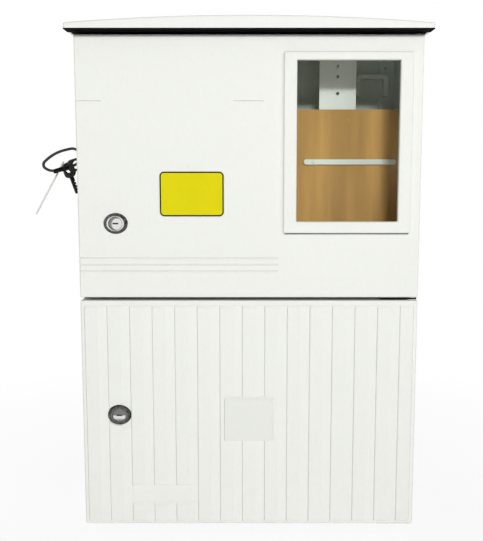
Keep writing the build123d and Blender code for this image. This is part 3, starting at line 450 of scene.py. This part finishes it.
def spangle_finish(name, colour):
    """Galvanised sheet with its crystal spangle, stains and scuffs."""
    finish = Finish(name)
    crystal = finish.cells(110.0)
    stain_and_reflection = finish.steps(finish.noise(22.0, 5.0, 0.6), (0.45, 0.0), (0.75, 1.0))
    scuff = finish.steps(finish.noise(260.0, 4.0, 0.7, (0.15, 1.0, 1.0)), (0.58, 0.0), (0.72, 1.0))
    soft = finish.soft_normal(SHEET_EDGE)
    toned = finish.mix(crystal, shade(colour, 0.78), shade(colour, 1.12))
    dulled = finish.mix(stain_and_reflection * 0.35, toned, shade(colour, 0.55))
    return finish.paint(
        Base_Color=finish.mix(scuff * 0.3, dulled, shade(colour, 1.3)),
        Metallic=1.0,
        Roughness=0.34 + 0.16 * crystal + 0.12 * stain_and_reflection,
        Normal=finish.bump(crystal, 0.05, 0.0002, soft),
    )


def plastic_finish(name, colour, rough):
    """Moulded nylon with a fine spark-eroded grain and paler rubbed edges."""
    finish = Finish(name)
    grain = finish.noise(1200.0, 2.0)
    cloud = finish.noise(80.0, 3.0)
    soft = finish.soft_normal(PLASTIC_EDGE)
    toned = finish.mix(cloud, shade(colour, 0.85), shade(colour, 1.1))
    return finish.paint(
        Base_Color=finish.mix(finish.edge(soft) * 0.4, toned, shade(colour, 1.6)),
        Roughness=rough - 0.08 + 0.16 * grain,
        Normal=finish.bump(grain, 0.15, 0.0003, soft),
    )


def lock_finish(name, body, chrome, dark):
    """A bezel whose dark colour is a painted reflection, round a bright dished face, with handling
    scratches and painted shade in corners.
    """
    finish = Finish(name)
    low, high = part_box(body)
    middle = (low + high) / 2
    radius = finish.ring(middle, (high.x - low.x) / 2, (high.z - low.z) / 2)
    rim = finish.steps(radius, (0.46, 0.0), (0.55, 1.0), (0.9, 1.0), (1.0, 0.75))
    tarnish_and_reflection = finish.noise(140.0, 5.0, 0.65)
    scratch = finish.noise(900.0, 3.0, 0.6, (1.0, 1.0, 0.08))
    face = finish.mix(tarnish_and_reflection, shade(chrome, 0.82), chrome)
    # Painted reflection: the bezel's sloping ring is dark
    bezel = finish.mix(finish.steps(tarnish_and_reflection, (0.34, 0.0), (0.68, 1.0)), shade(dark, 0.35), shade(dark, 2.2))
    soft = finish.soft_normal(METAL_EDGE)
    ringed = finish.mix(rim, face, bezel)
    return finish.paint(
        # Painted shade in the lock's corners
        Base_Color=finish.mix(finish.crevice(SHADED_CORNER) * 0.9, ringed, shade(dark, 0.3)),
        Metallic=1.0,
        Roughness=0.16 + 0.12 * scratch + 0.14 * tarnish_and_reflection,
        Normal=finish.bump(scratch, 0.06, 0.0002, soft),
    )


def crescent(finish, middle, radius):
    """Painted dark reflection along the left edge of a plug's face."""
    shifted = middle + Vector((0.3, 0.0, -0.1)) * radius
    return finish.steps(finish.ring(shifted, radius, radius), (0.6, 0.0), (0.85, 0.9))


def banded(finish, middle, radius):
    """Painted dark reflection over a plug's face that leaves a bright band below its middle."""
    up = finish.span(finish.axis("Z"), middle.z - radius, middle.z + radius)
    return finish.steps(up, (0.16, 0.85), (0.26, 0.05), (0.44, 0.0), (0.53, 0.95))


def plug_finish(name, body, chrome, dark, tarnish_and_reflection):
    """A turned lock plug, bright but for a painted dark reflection, with painted shade in its key slot."""
    finish = Finish(name)
    low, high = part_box(body)
    turned = finish.noise(260.0, 4.0, 0.7, (1.0, 0.2, 1.0))
    stain_and_reflection = tarnish_and_reflection(finish, (low + high) / 2, (high.x - low.x) / 2)
    # Painted shade: the key slot is darkened nearly to black where it is deep
    slot_shade = finish.steps(finish.crevice(KEY_SLOT, 12), (0.18, 0.0), (0.5, 1.0))
    face = finish.mix(turned, shade(chrome, 0.84), chrome)
    # Painted reflection: the plug's face is darkened where its chrome would reflect dark
    with_painted_reflection = finish.mix(stain_and_reflection * (0.75 + 0.25 * turned), face, shade(dark, 1.4))
    return finish.paint(
        Base_Color=finish.mix(slot_shade, with_painted_reflection, shade(dark, 0.12)),
        Metallic=1.0,
        Roughness=0.24 + 0.2 * turned,
        Normal=finish.bump(turned, 0.1, 0.0002, finish.soft_normal(PLASTIC_EDGE)),
    )


def tie_finish(colour, tail_colour):
    """A black moulded loop whose thin free end is bare and pale."""
    finish = Finish("key loop")
    rise = finish.axis("Z") - TIE_LOW.z
    off_line = (finish.axis("X") - TIE_LOW.x) * math.sin(TAIL_ANGLE) - rise * math.cos(TAIL_ANGLE)
    far = TAIL_HALF_WIDTH + TAIL_FADE
    on_line = finish.span(off_line * off_line, TAIL_HALF_WIDTH**2, far**2, 1.0, 0.0)
    tail = on_line * finish.span(rise, TAIL_RISE, TAIL_RISE + TAIL_BLEND, 1.0, 0.0)
    grain = finish.noise(900.0, 2.0)
    black = finish.mix(grain, shade(colour, 0.8), shade(colour, 1.3))
    bare = finish.mix(grain, shade(tail_colour, 0.8), shade(tail_colour, 1.15))
    return finish.paint(
        Base_Color=finish.mix(tail, black, bare),
        Roughness=0.4 + 0.16 * grain,
        Normal=finish.bump(grain, 0.12, 0.0003),
    )


def board_finish(colour):
    """Brown pressed board: broad upright bands, fine grain, darker specks and a satin face."""
    finish = Finish("pressed board")
    band = finish.steps(finish.noise(15.0, 3.0, 0.5, (1.0, 1.0, 0.1)), (0.42, 0.0), (0.6, 1.0))
    grain = finish.noise(150.0, 6.0, 0.65, (1.0, 1.0, 0.07))
    speck = finish.steps(finish.noise(600.0, 2.0), (0.6, 0.0), (0.72, 1.0))
    soft = finish.soft_normal(BOARD_EDGE)
    tone = finish.mix(band, shade(colour, 0.76), shade(colour, 1.1))
    grained = finish.mix(grain * 0.5, tone, shade(colour, 0.66))
    scuffed = finish.mix(finish.edge(soft) * 0.5, grained, shade(colour, 1.25))
    return finish.paint(
        Base_Color=finish.mix(speck * 0.35, scuffed, shade(colour, 0.45)),
        Roughness=0.5 + 0.18 * grain,
        Normal=finish.bump(grain, 0.14, 0.0006, soft),
        Specular_IOR_Level=0.15,
    )


def pane_finish(tint):
    """Clear sheet: see-through, slightly smeared, with a sharp reflection that grows at a slant."""
    finish = Finish("window sheet")
    smear = finish.steps(finish.noise(14.0, 5.0, 0.6), (0.45, 0.0), (0.8, 1.0))
    slant = finish.node("ShaderNodeLayerWeight", {}, {"Blend": 0.12}, "Fresnel")
    clear = finish.node("ShaderNodeBsdfTransparent", {}, {"Color": tint})
    gloss = finish.node("ShaderNodeBsdfGlossy", {}, {"Color": PANE_GLOSS, "Roughness": 0.04})
    share = slant * 0.45 + smear * 0.012
    return finish.show(finish.node("ShaderNodeMixShader", {}, {0: share, 1: clear, 2: gloss}))


def enamel_finish(colour):
    """Enamelled plate with a slight cloudiness, an uneven gloss and a few scuffs."""
    finish = Finish("yellow enamel")
    cloud = finish.noise(26.0, 4.0)
    fine = finish.noise(700.0, 2.0)
    scuff = finish.steps(finish.noise(120.0, 6.0, 0.7, (1.0, 1.0, 0.3)), (0.62, 0.0), (0.74, 1.0))
    tone = finish.mix(cloud, shade(colour, 0.94), shade(colour, 1.03))
    return finish.paint(
        Base_Color=finish.mix(scuff * 0.25, tone, shade(colour, 0.8)),
        Roughness=0.3 + 0.12 * fine + 0.15 * scuff,
        Normal=finish.bump(fine, 0.06, 0.0003),
        Specular_IOR_Level=0.12,
    )


def ink_finish(name, colour, uneven):
    """Dark ink whose cover is a little uneven."""
    finish = Finish(name)
    cover = finish.noise(300.0, 4.0)
    return finish.paint(
        Base_Color=finish.mix(cover, shade(colour, 1.0 - uneven), shade(colour, 1.0 + uneven)),
        Roughness=0.4 + 0.15 * cover,
        Normal=finish.bump(cover, 0.08, 0.0002),
        Specular_IOR_Level=0.12,
    )


def dress(material, *names):
    """Give CAD pieces a material of their own."""
    for name in names:
        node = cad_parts[name]
        node.data.materials.clear()
        node.data.materials.append(material)


def rounded_copy(node_name, swell, radius):
    """A builder of a piece like a CAD node, a little fuller and with its sharp edges rounded."""

    def build(made):
        made.from_mesh(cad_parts[node_name].data)
        bmesh.ops.remove_doubles(made, verts=made.verts, dist=WELD_REACH)
        bmesh.ops.dissolve_limit(made, angle_limit=FLAT_ANGLE, verts=made.verts, edges=made.edges)
        made.normal_update()
        places = [vert.co + vert.normal * swell for vert in made.verts]
        for vert, place in zip(made.verts, places):
            vert.co = place
        sharp = [edge for edge in made.edges if edge.calc_face_angle(0.0) > SHARP_ANGLE]
        bmesh.ops.bevel(made, geom=sharp, offset=radius, segments=3, profile=0.5, affect="EDGES")
        for face in made.faces:
            face.smooth = True

    return build


def add_mesh(name, build, material, body):
    """A new mesh piece that rides on a body and takes the finish it is given."""
    mesh = bpy.data.meshes.new(name)
    made = bmesh.new()
    build(made)
    bmesh.ops.recalc_face_normals(made, faces=made.faces)
    made.to_mesh(mesh)
    made.free()
    piece = bpy.data.objects.new(name, mesh)
    bpy.context.scene.collection.objects.link(piece)
    mesh.materials.append(material)
    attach(piece, body)
    return piece


class CabinetColours(bpy.types.PropertyGroup):
    """Colours that a user would change."""

    shell: bpy.props.FloatVectorProperty(
        name="Shell", description="Moulded fibreglass",
        subtype="COLOR", size=3, default=(0.86, 0.87, 0.825),
    )
    lining: bpy.props.FloatVectorProperty(
        name="Lining", description="Bare inner faces of the case",
        subtype="COLOR", size=3, default=(0.86, 0.91, 0.85),
    )
    board: bpy.props.FloatVectorProperty(
        name="Board", description="Pressed meter board",
        subtype="COLOR", size=3, default=(0.78, 0.43, 0.15),
    )
    plate: bpy.props.FloatVectorProperty(
        name="Plate", description="Blank plate on the upper door",
        subtype="COLOR", size=3, default=(0.75, 0.67, 0.006),
    )
    chrome: bpy.props.FloatVectorProperty(
        name="Chrome", description="Lock faces",
        subtype="COLOR", size=3, default=(0.86, 0.86, 0.84),
    )
    # The bezel colour is dark to stand for the painted reflection in the bezels' sloping faces
    bezel: bpy.props.FloatVectorProperty(
        name="Bezel", description="Dark painted_reflection of the lock bezels",
        subtype="COLOR", size=3, default=(0.07, 0.073, 0.065),
    )


class CabinetSizes(bpy.types.PropertyGroup):
    """Sizes of the added trim."""

    plate_width: bpy.props.FloatProperty(
        name="Plate width", description="Of the blank plate", unit="LENGTH", default=0.112
    )
    plate_height: bpy.props.FloatProperty(
        name="Plate height", description="Of the blank plate", unit="LENGTH", default=0.078
    )
    plate_radius: bpy.props.FloatProperty(
        name="Plate corner", description="Radius of its corners", unit="LENGTH", default=0.008
    )
    plate_rim: bpy.props.FloatProperty(
        name="Plate rim", description="Width of its dark rim", unit="LENGTH", default=0.0025
    )
    plate_thickness: bpy.props.FloatProperty(
        name="Plate thickness", description="Sheet thickness", unit="LENGTH", default=0.0008
    )
    plate_left: bpy.props.FloatProperty(
        name="Plate from left", description="Its middle, from the door's left edge",
        unit="LENGTH", default=0.2,
    )
    plate_rise: bpy.props.FloatProperty(
        name="Plate rise", description="Its middle, from the door's bottom edge",
        unit="LENGTH", default=0.183,
    )
    bead_height: bpy.props.FloatProperty(
        name="Bead height", description="Of the bead under the window frame",
        unit="LENGTH", default=0.0026,
    )
    bead_depth: bpy.props.FloatProperty(
        name="Bead depth", description="Of the bead, from the door's face",
        unit="LENGTH", default=0.0035,
    )
    loop_swell: bpy.props.FloatProperty(
        name="Loop swell", description="How much fuller the key loop is than its solid",
        unit="LENGTH", default=0.0006,
    )


class CabinetView(bpy.types.PropertyGroup):
    """Where the camera stands and how strong the light is."""

    distance: bpy.props.FloatProperty(
        name="Distance", description="From the door fronts", unit="LENGTH", default=1.398
    )
    height: bpy.props.FloatProperty(
        name="Height", description="Above the lower door's bottom edge", unit="LENGTH", default=0.6448
    )
    tilt: bpy.props.FloatProperty(
        name="Tilt", description="Downwards", subtype="ANGLE", default=math.radians(7.15)
    )
    focal_pixels: bpy.props.FloatProperty(
        name="Focal length", description="In pixels of the picture", default=797.0
    )
    shift_pixels: bpy.props.FloatProperty(
        name="Shift", description="Of the middle, in pixels", default=7.5
    )
    surround: bpy.props.FloatProperty(
        name="Surround", description="Level of the light from all round", subtype="FACTOR", default=0.2
    )
    side_power: bpy.props.FloatProperty(
        name="Side lamp", description="Wide lamp at the upper right", unit="POWER", default=48.0
    )
    front_power: bpy.props.FloatProperty(
        name="Front lamp", description="Lamp above the camera", unit="POWER", default=108.0
    )
    back_power: bpy.props.FloatProperty(
        name="Back lamp", description="Wide lamp behind, at the left", unit="POWER", default=60.0
    )


class CABINET_OT_stage(bpy.types.Operator):
    """Floor, surround, lamps and camera"""

    bl_idname = "cabinet.stage"
    bl_label = "Stage"

    def execute(self, context):
        scene = context.scene
        view = scene.cabinet_view
        make_surround(scene, view.surround)
        make_floor(scene)
        make_lamp(scene, "front lamp", *FRONT_LAMP, view.front_power)
        make_lamp(scene, "side lamp", *SIDE_LAMP, view.side_power)
        make_lamp(scene, "back lamp", *BACK_LAMP, view.back_power)
        data = bpy.data.cameras.new("camera")
        data.lens = view.focal_pixels / IMAGE_LONG_SIDE * data.sensor_width
        data.shift_x = -view.shift_pixels / IMAGE_LONG_SIDE
        camera = bpy.data.objects.new("camera", data)
        camera.location = (0.0, DOOR_FRONT - view.distance, LOWER_LOW.z + view.height)
        camera.rotation_euler = (math.pi / 2 - view.tilt, 0.0, 0.0)
        scene.collection.objects.link(camera)
        scene.camera = camera
        scene.view_settings.view_transform = "Standard"
        return {"FINISHED"}


def make_surround(scene, level):
    """A white surround that lights the cabinet softly and looks white itself."""
    scene.world = bpy.data.worlds.new("surround")
    recipe = Recipe(scene.world)
    strength = level + (1.0 - level) * recipe.seen_directly()
    background = recipe.node("ShaderNodeBackground", {}, {"Color": WHITE, "Strength": strength})
    recipe.show(background, "ShaderNodeOutputWorld")


def make_floor(scene, size=30.0):
    """A wide pale floor that keeps a soft shadow near the cabinet and turns white further off."""
    mesh = bpy.data.meshes.new("floor")
    corners = [(-size, -size, 0), (size, -size, 0), (size, size, 0), (-size, size, 0)]
    mesh.from_pydata(corners, [], [(0, 1, 2, 3)])
    floor = bpy.data.objects.new("floor", mesh)
    scene.collection.objects.link(floor)
    finish = Finish("pale floor")
    reach = finish.node("ShaderNodeVectorMath", {"operation": "LENGTH"}, {0: finish.place}, "Value")
    share = finish.seen_directly() * finish.span(reach, SHADOW_NEAR, SHADOW_FAR, SHADOW_GLOW, 1.0)
    matt = finish.node("ShaderNodeBsdfDiffuse", {}, {"Color": FLOOR})
    glow = finish.node("ShaderNodeEmission", {}, {"Color": WHITE, "Strength": 1.0})
    shader = finish.node("ShaderNodeMixShader", {}, {0: share, 1: matt, 2: glow})
    mesh.materials.append(finish.show(shader))


def make_lamp(scene, name, place, size, power):
    """A rectangular lamp that looks at the middle of the cabinet."""
    data = bpy.data.lights.new(name, "AREA")
    data.shape = "RECTANGLE"
    data.size, data.size_y = size
    data.energy = power
    lamp = bpy.data.objects.new(name, data)
    lamp.location = place
    middle = Vector((0.0, 0.0, (CAD_BOX[0][2] + CAD_BOX[1][2]) / 2))
    lamp.rotation_euler = (middle - Vector(place)).to_track_quat("-Z", "Y").to_euler()
    lamp.visible_glossy = False
    scene.collection.objects.link(lamp)


class CABINET_OT_shell(bpy.types.Operator):
    """Fibreglass finish on the case, the canopy, the doors and the window frame"""

    bl_idname = "cabinet.shell"
    bl_label = "Fibreglass shell"

    def execute(self, context):
        colour = tuple(context.scene.cabinet_colours.shell)
        lining = tuple(context.scene.cabinet_colours.lining)
        dress(shell_finish("moulded case", colour, CASE_GRIME, lining), *SHELL_PIECES)
        moulded = shell_finish("moulded doors", colour, DOOR_GRIME, rounding=DOOR_EDGE)
        dress(moulded, *DOOR_PIECES)
        add_mesh("door_flutes", build_flutes, moulded, "lower_door_body")
        duller = shell_finish("moulded pad", shade(colour, PAD_SHADE), DOOR_GRIME)
        add_mesh("door_pad", build_pad, duller, "lower_door_body")
        return {"FINISHED"}


def build_pad(made, rise=0.0055, root=0.0004, steep=0.0018, gentle=0.005, fall=0.004):
    """A plain raised pad on the lower door, clear of the flutes, with slopes at its right and its top."""
    half_width, half_height = PAD_WIDTH / 2, PAD_HEIGHT / 2
    middle = LOWER_LOW.z + PAD_BOTTOM + half_height
    rings = []
    for height, low, high in ((-root, root, gentle), (rise, root - steep, -fall)):
        left, right = -half_width - low, half_width + high
        bottom, top = middle - half_height - low, middle + half_height + high
        corners = [(left, bottom), (right, bottom), (right, top), (left, top)]
        rings.append([made.verts.new((x, DOOR_FRONT - height, z)) for x, z in corners])
    close_rings(made, rings)


def build_flutes(made, lock_gap=0.004, fade=0.004):
    """Flutes over the lower door's ribs, steep at left and bottom and sloping at right and top."""
    bottom, top = LOWER_LOW.z + RIB_BOTTOM_MARGIN, LOWER_HIGH.z - RIB_TOP_MARGIN
    band_bottom = LOWER_LOW.z + BAND_BOTTOM
    lock_low, lock_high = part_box("lower_lock_body")
    lock_middle = (lock_low.x + lock_high.x) / 2
    first, last = LOWER_LOW.x + RIB_SIDE_MARGIN, LOWER_HIGH.x - RIB_SIDE_MARGIN - RIB_WIDTH
    pitch = (last - first) / (RIB_COUNT - 1)
    for index in range(RIB_COUNT):
        left = first + pitch * index
        spans = [(bottom, top)]
        if index in BAND_RIBS:
            spans = [(bottom, band_bottom), (band_bottom + BAND_HEIGHT, top)]
        elif left < lock_middle < left + pitch:
            spans = [(bottom, lock_low.z - lock_gap - fade), (lock_high.z + lock_gap, top)]
        width = pitch + FLUTE_LAP if index < RIB_COUNT - 1 else RIB_WIDTH + FLUTE_SKIN
        for low, high in spans:
            add_flute(made, left - FLUTE_SKIN, left + width, low - FLUTE_SKIN, high, fade)


def add_flute(made, left, right, low, high, fade):
    """One flute, from three rows of corners: two at its full height and one where it fades out."""
    crest = RIB_HEIGHT + FLUTE_SKIN
    lean = RIB_INSET / RIB_HEIGHT
    ridge = left + RIB_WIDTH - RIB_INSET
    section = (
        (left - lean * FLUTE_ROOT, -FLUTE_ROOT), (left + RIB_INSET, crest), (ridge, crest),
        (right, 0.0), (right, -FLUTE_ROOT),
    )
    rows = [
        [(x, rise, low + lean * rise) for x, rise in section],
        [(x, rise, high - RIB_INSET) for x, rise in section],
        [(x, -FLUTE_ROOT / 2 if rise > 0.0 else rise, high + fade) for x, rise in section],
    ]
    rings = [[made.verts.new((x, DOOR_FRONT - rise, z)) for x, rise, z in row] for row in rows]
    close_rings(made, rings)


def close_rings(made, rings):
    """Faces from each ring of corners to the next and over the first and the last."""
    made.faces.new(rings[0])
    made.faces.new(list(reversed(rings[-1])))
    for ring, above in zip(rings, rings[1:]):
        for index in range(len(ring)):
            after = (index + 1) % len(ring)
            made.faces.new((ring[index], above[index], above[after], ring[after]))


class CABINET_OT_seals(bpy.types.Operator):
    """Rubber finish on the seals, the closure strip and the grommets"""

    bl_idname = "cabinet.seals"
    bl_label = "Rubber seals"

    def execute(self, context):
        dress(rubber_finish("black rubber", RUBBER, 0.2), *SEAL_PIECES)
        dress(rubber_finish("black foam", FOAM, 0.02), "canopy_closure_strip")
        return {"FINISHED"}


class CABINET_OT_locks(bpy.types.Operator):
    """Bezels with a painted dark reflection, and turned plugs, of the two locks"""

    bl_idname = "cabinet.locks"
    bl_label = "Locks"

    def execute(self, context):
        chrome = tuple(context.scene.cabinet_colours.chrome)
        dark = tuple(context.scene.cabinet_colours.bezel)
        # The lower lock's chrome gets a darker copy, a painted reflection
        for name, tarnish_and_reflection, painted_reflection_level in (("upper", crescent, 1.0), ("lower", banded, LOWER_LOCK_DARK_REFLECTION)):
            body, plug = f"{name}_lock_body", f"{name}_lock_core"
            dress(lock_finish(f"{name} lock bezel", body, shade(chrome, painted_reflection_level), dark), body)
            dress(plug_finish(f"{name} lock plug", plug, chrome, dark, tarnish_and_reflection), plug)
        return {"FINISHED"}


class CABINET_OT_metalwork(bpy.types.Operator):
    """Plated, galvanised and painted metal on brackets, screws, rails and plates, and short window clips"""

    bl_idname = "cabinet.metalwork"
    bl_label = "Metalwork"

    def execute(self, context):
        sheet = spangle_finish("galvanised sheet", GALVANISED)
        dress(sheet, *SHEET_PIECES)
        clips = add_mesh("short_clips", build_clips, sheet, "upper_door_body")
        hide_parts("window_clips")
        dress(metal_finish("bright zinc", ZINC, 0.34, (1.0, 1.0, 1.0)), *SCREW_PIECES)
        dress(metal_finish("plain steel", STEEL, 0.38, (0.2, 1.0, 1.0)), *STEEL_PIECES)
        dress(metal_finish("brass", BRASS, 0.34, (0.1, 1.0, 1.0)), "earth_bar")
        dress(metal_finish("blackened steel", BLACKENED, 0.5, (0.3, 1.0, 1.0)), *DARK_BRACKETS)
        dress(shell_finish("white paint", WHITE_PAINT, PAINT_GRIME), *WHITE_METAL)
        return {"FINISHED"}


def build_clips(made, side_reach=0.0045, end_reach=0.0025):
    """Window clips like their solid, but with tabs that end behind the frame."""
    made.from_mesh(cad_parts["window_clips"].data)
    low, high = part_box("window_pane")
    left, right = low.x + side_reach, high.x - side_reach
    bottom, top = low.z + end_reach, high.z - end_reach
    for vert in made.verts:
        x, _, z = vert.co
        ways = ((x - left, 0, left), (right - x, 0, right), (z - bottom, 2, bottom), (top - z, 2, top))
        depth, axis, edge = min(ways)
        if depth > 0.0:
            vert.co[axis] = edge


class CABINET_OT_window(bpy.types.Operator):
    """Clear sheet in the upper door, and a dark bead under its frame that stands for the frame's shadow"""

    bl_idname = "cabinet.window"
    bl_label = "Window"

    def execute(self, context):
        dress(pane_finish(PANE_TINT), "window_pane")
        sizes = context.scene.cabinet_sizes
        span = (FRAME_LOW.x + sizes.bead_height, FRAME_HIGH.x - sizes.bead_height)
        bead = bead_builder(span, FRAME_LOW.z, sizes.bead_height, sizes.bead_depth)
        # Painted shadow: a dark grey bead under the window frame stands in for the frame's shadow on the
        # door
        grey = rubber_finish("grey shadow_bead", SHADOW_BEAD_GREY, 0.2)
        add_mesh("window_shadow_bead", bead, grey, "upper_door_body")
        return {"FINISHED"}


def bead_builder(span, top, height, depth, steps=6):
    """A builder of a quarter-round bead on the upper door's face, along X under an edge."""

    def build(made):
        profile = [(DOOR_FRONT, top)]
        for step in range(steps + 1):
            angle = math.pi / 2 * step / steps
            profile.append((DOOR_FRONT - depth * math.cos(angle), top - height * math.sin(angle)))
        close_rings(made, [[made.verts.new((x, y, z)) for y, z in profile] for x in span])

    return build


class CABINET_OT_fittings(bpy.types.Operator):
    """Meter board, nylon bushes and insulating feet inside the cabinet"""

    bl_idname = "cabinet.fittings"
    bl_label = "Fittings"

    def execute(self, context):
        board = tuple(context.scene.cabinet_colours.board)
        dress(board_finish(board), "meter_board")
        dress(plastic_finish("brown caps", shade(board, CAP_SHADE), 0.5), *CAPPED_SCREWS)
        dress(plastic_finish("natural nylon", NATURAL_NYLON, 0.5), *NYLON_PIECES)
        dress(plastic_finish("red insulator", RED_INSULATOR, 0.36), "earth_bar_feet")
        return {"FINISHED"}


class CABINET_OT_keys(bpy.types.Operator):
    """Black loop with two dark keys on the left vent, the loop fuller and rounder than its solid"""

    bl_idname = "cabinet.keys"
    bl_label = "Keys"

    def execute(self, context):
        swell = context.scene.cabinet_sizes.loop_swell
        loop_finish = tie_finish(BLACK_NYLON, BARE_NYLON)
        build = rounded_copy("key_tie", swell, LOOP_ROUNDING * swell)
        loop = add_mesh("key_loop", build, loop_finish, "case")
        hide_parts("key_tie")
        dress(plastic_finish("key bow", KEY_BOW, 0.45), "key_bows")
        dress(metal_finish("dark key steel", KEY_STEEL, 0.36, (1.0, 1.0, 0.15)), "key_blades")
        return {"FINISHED"}


def rounded_rectangle(width, height, radius, inset, steps=8):
    """Outline of a rectangle round the origin with round corners, moved inwards by an inset."""
    points = []
    for quarter, (side, end) in enumerate(((1, 1), (-1, 1), (-1, -1), (1, -1))):
        centre = Vector((side * (width / 2 - radius), end * (height / 2 - radius)))
        for step in range(steps + 1):
            angle = math.pi / 2 * (quarter + step / steps)
            points.append(centre + Vector((math.cos(angle), math.sin(angle))) * (radius - inset))
    return points


def plate_builder(outline, front, back):
    """A builder of a flat plate across Y between two depths, from an outline in X and Z."""

    def build(made):
        rings = [[made.verts.new((point.x, y, point.y)) for point in outline] for y in (front, back)]
        close_rings(made, rings)

    return build


class CABINET_OT_blank_plate(bpy.types.Operator):
    """Plain yellow plate with a dark rim on the upper door"""

    bl_idname = "cabinet.blank_plate"
    bl_label = "Blank plate"

    def execute(self, context):
        sizes = context.scene.cabinet_sizes
        colour = tuple(context.scene.cabinet_colours.plate)
        middle = Vector((UPPER_LOW.x + sizes.plate_left, UPPER_LOW.z + sizes.plate_rise))
        front = DOOR_FRONT - sizes.plate_thickness
        raised = front - sizes.plate_thickness * FIELD_SHARE
        outlines = []
        for inset in (0.0, sizes.plate_rim):
            outline = rounded_rectangle(sizes.plate_width, sizes.plate_height, sizes.plate_radius, inset)
            outlines.append([middle + point for point in outline])
        rim = plate_builder(outlines[0], front, DOOR_FRONT)
        field = plate_builder(outlines[1], raised, front)
        add_mesh("plate_rim", rim, ink_finish("dark rim", INK, 0.25), "upper_door_body")
        add_mesh("plate_field", field, enamel_finish(colour), "upper_door_body")
        return {"FINISHED"}


class CABINET_PT_panel(bpy.types.Panel):
    """Lists the steps that dress the cabinet"""

    bl_label = "Meter cabinet"
    bl_idname = "CABINET_PT_panel"
    bl_space_type = "VIEW_3D"
    bl_region_type = "UI"
    bl_category = "Cabinet"

    def draw(self, context):
        for operator in OPERATORS:
            self.layout.operator(operator.bl_idname)


GROUPS = (CabinetColours, CabinetSizes, CabinetView)
OPERATORS = (
    CABINET_OT_stage,
    CABINET_OT_shell,
    CABINET_OT_seals,
    CABINET_OT_window,
    CABINET_OT_fittings,
    CABINET_OT_metalwork,
    CABINET_OT_locks,
    CABINET_OT_keys,
    CABINET_OT_blank_plate,
)


def register():
    """Make the settings, the steps and the panel known to Blender."""
    for entry in (*GROUPS, *OPERATORS, CABINET_PT_panel):
        bpy.utils.register_class(entry)
    bpy.types.Scene.cabinet_colours = bpy.props.PointerProperty(type=CabinetColours)
    bpy.types.Scene.cabinet_sizes = bpy.props.PointerProperty(type=CabinetSizes)
    bpy.types.Scene.cabinet_view = bpy.props.PointerProperty(type=CabinetView)


def unregister():
    """Take them out again, in the opposite order."""
    del bpy.types.Scene.cabinet_colours
    del bpy.types.Scene.cabinet_sizes
    del bpy.types.Scene.cabinet_view
    for entry in reversed((*GROUPS, *OPERATORS, CABINET_PT_panel)):
        bpy.utils.unregister_class(entry)


def main():
    """Dress the cabinet step by step."""
    register()
    bpy.ops.cabinet.stage()
    bpy.ops.cabinet.shell()
    bpy.ops.cabinet.seals()
    bpy.ops.cabinet.window()
    bpy.ops.cabinet.fittings()
    bpy.ops.cabinet.metalwork()
    bpy.ops.cabinet.locks()
    bpy.ops.cabinet.keys()
    bpy.ops.cabinet.blank_plate()


if __name__ == "__main__":
    main()
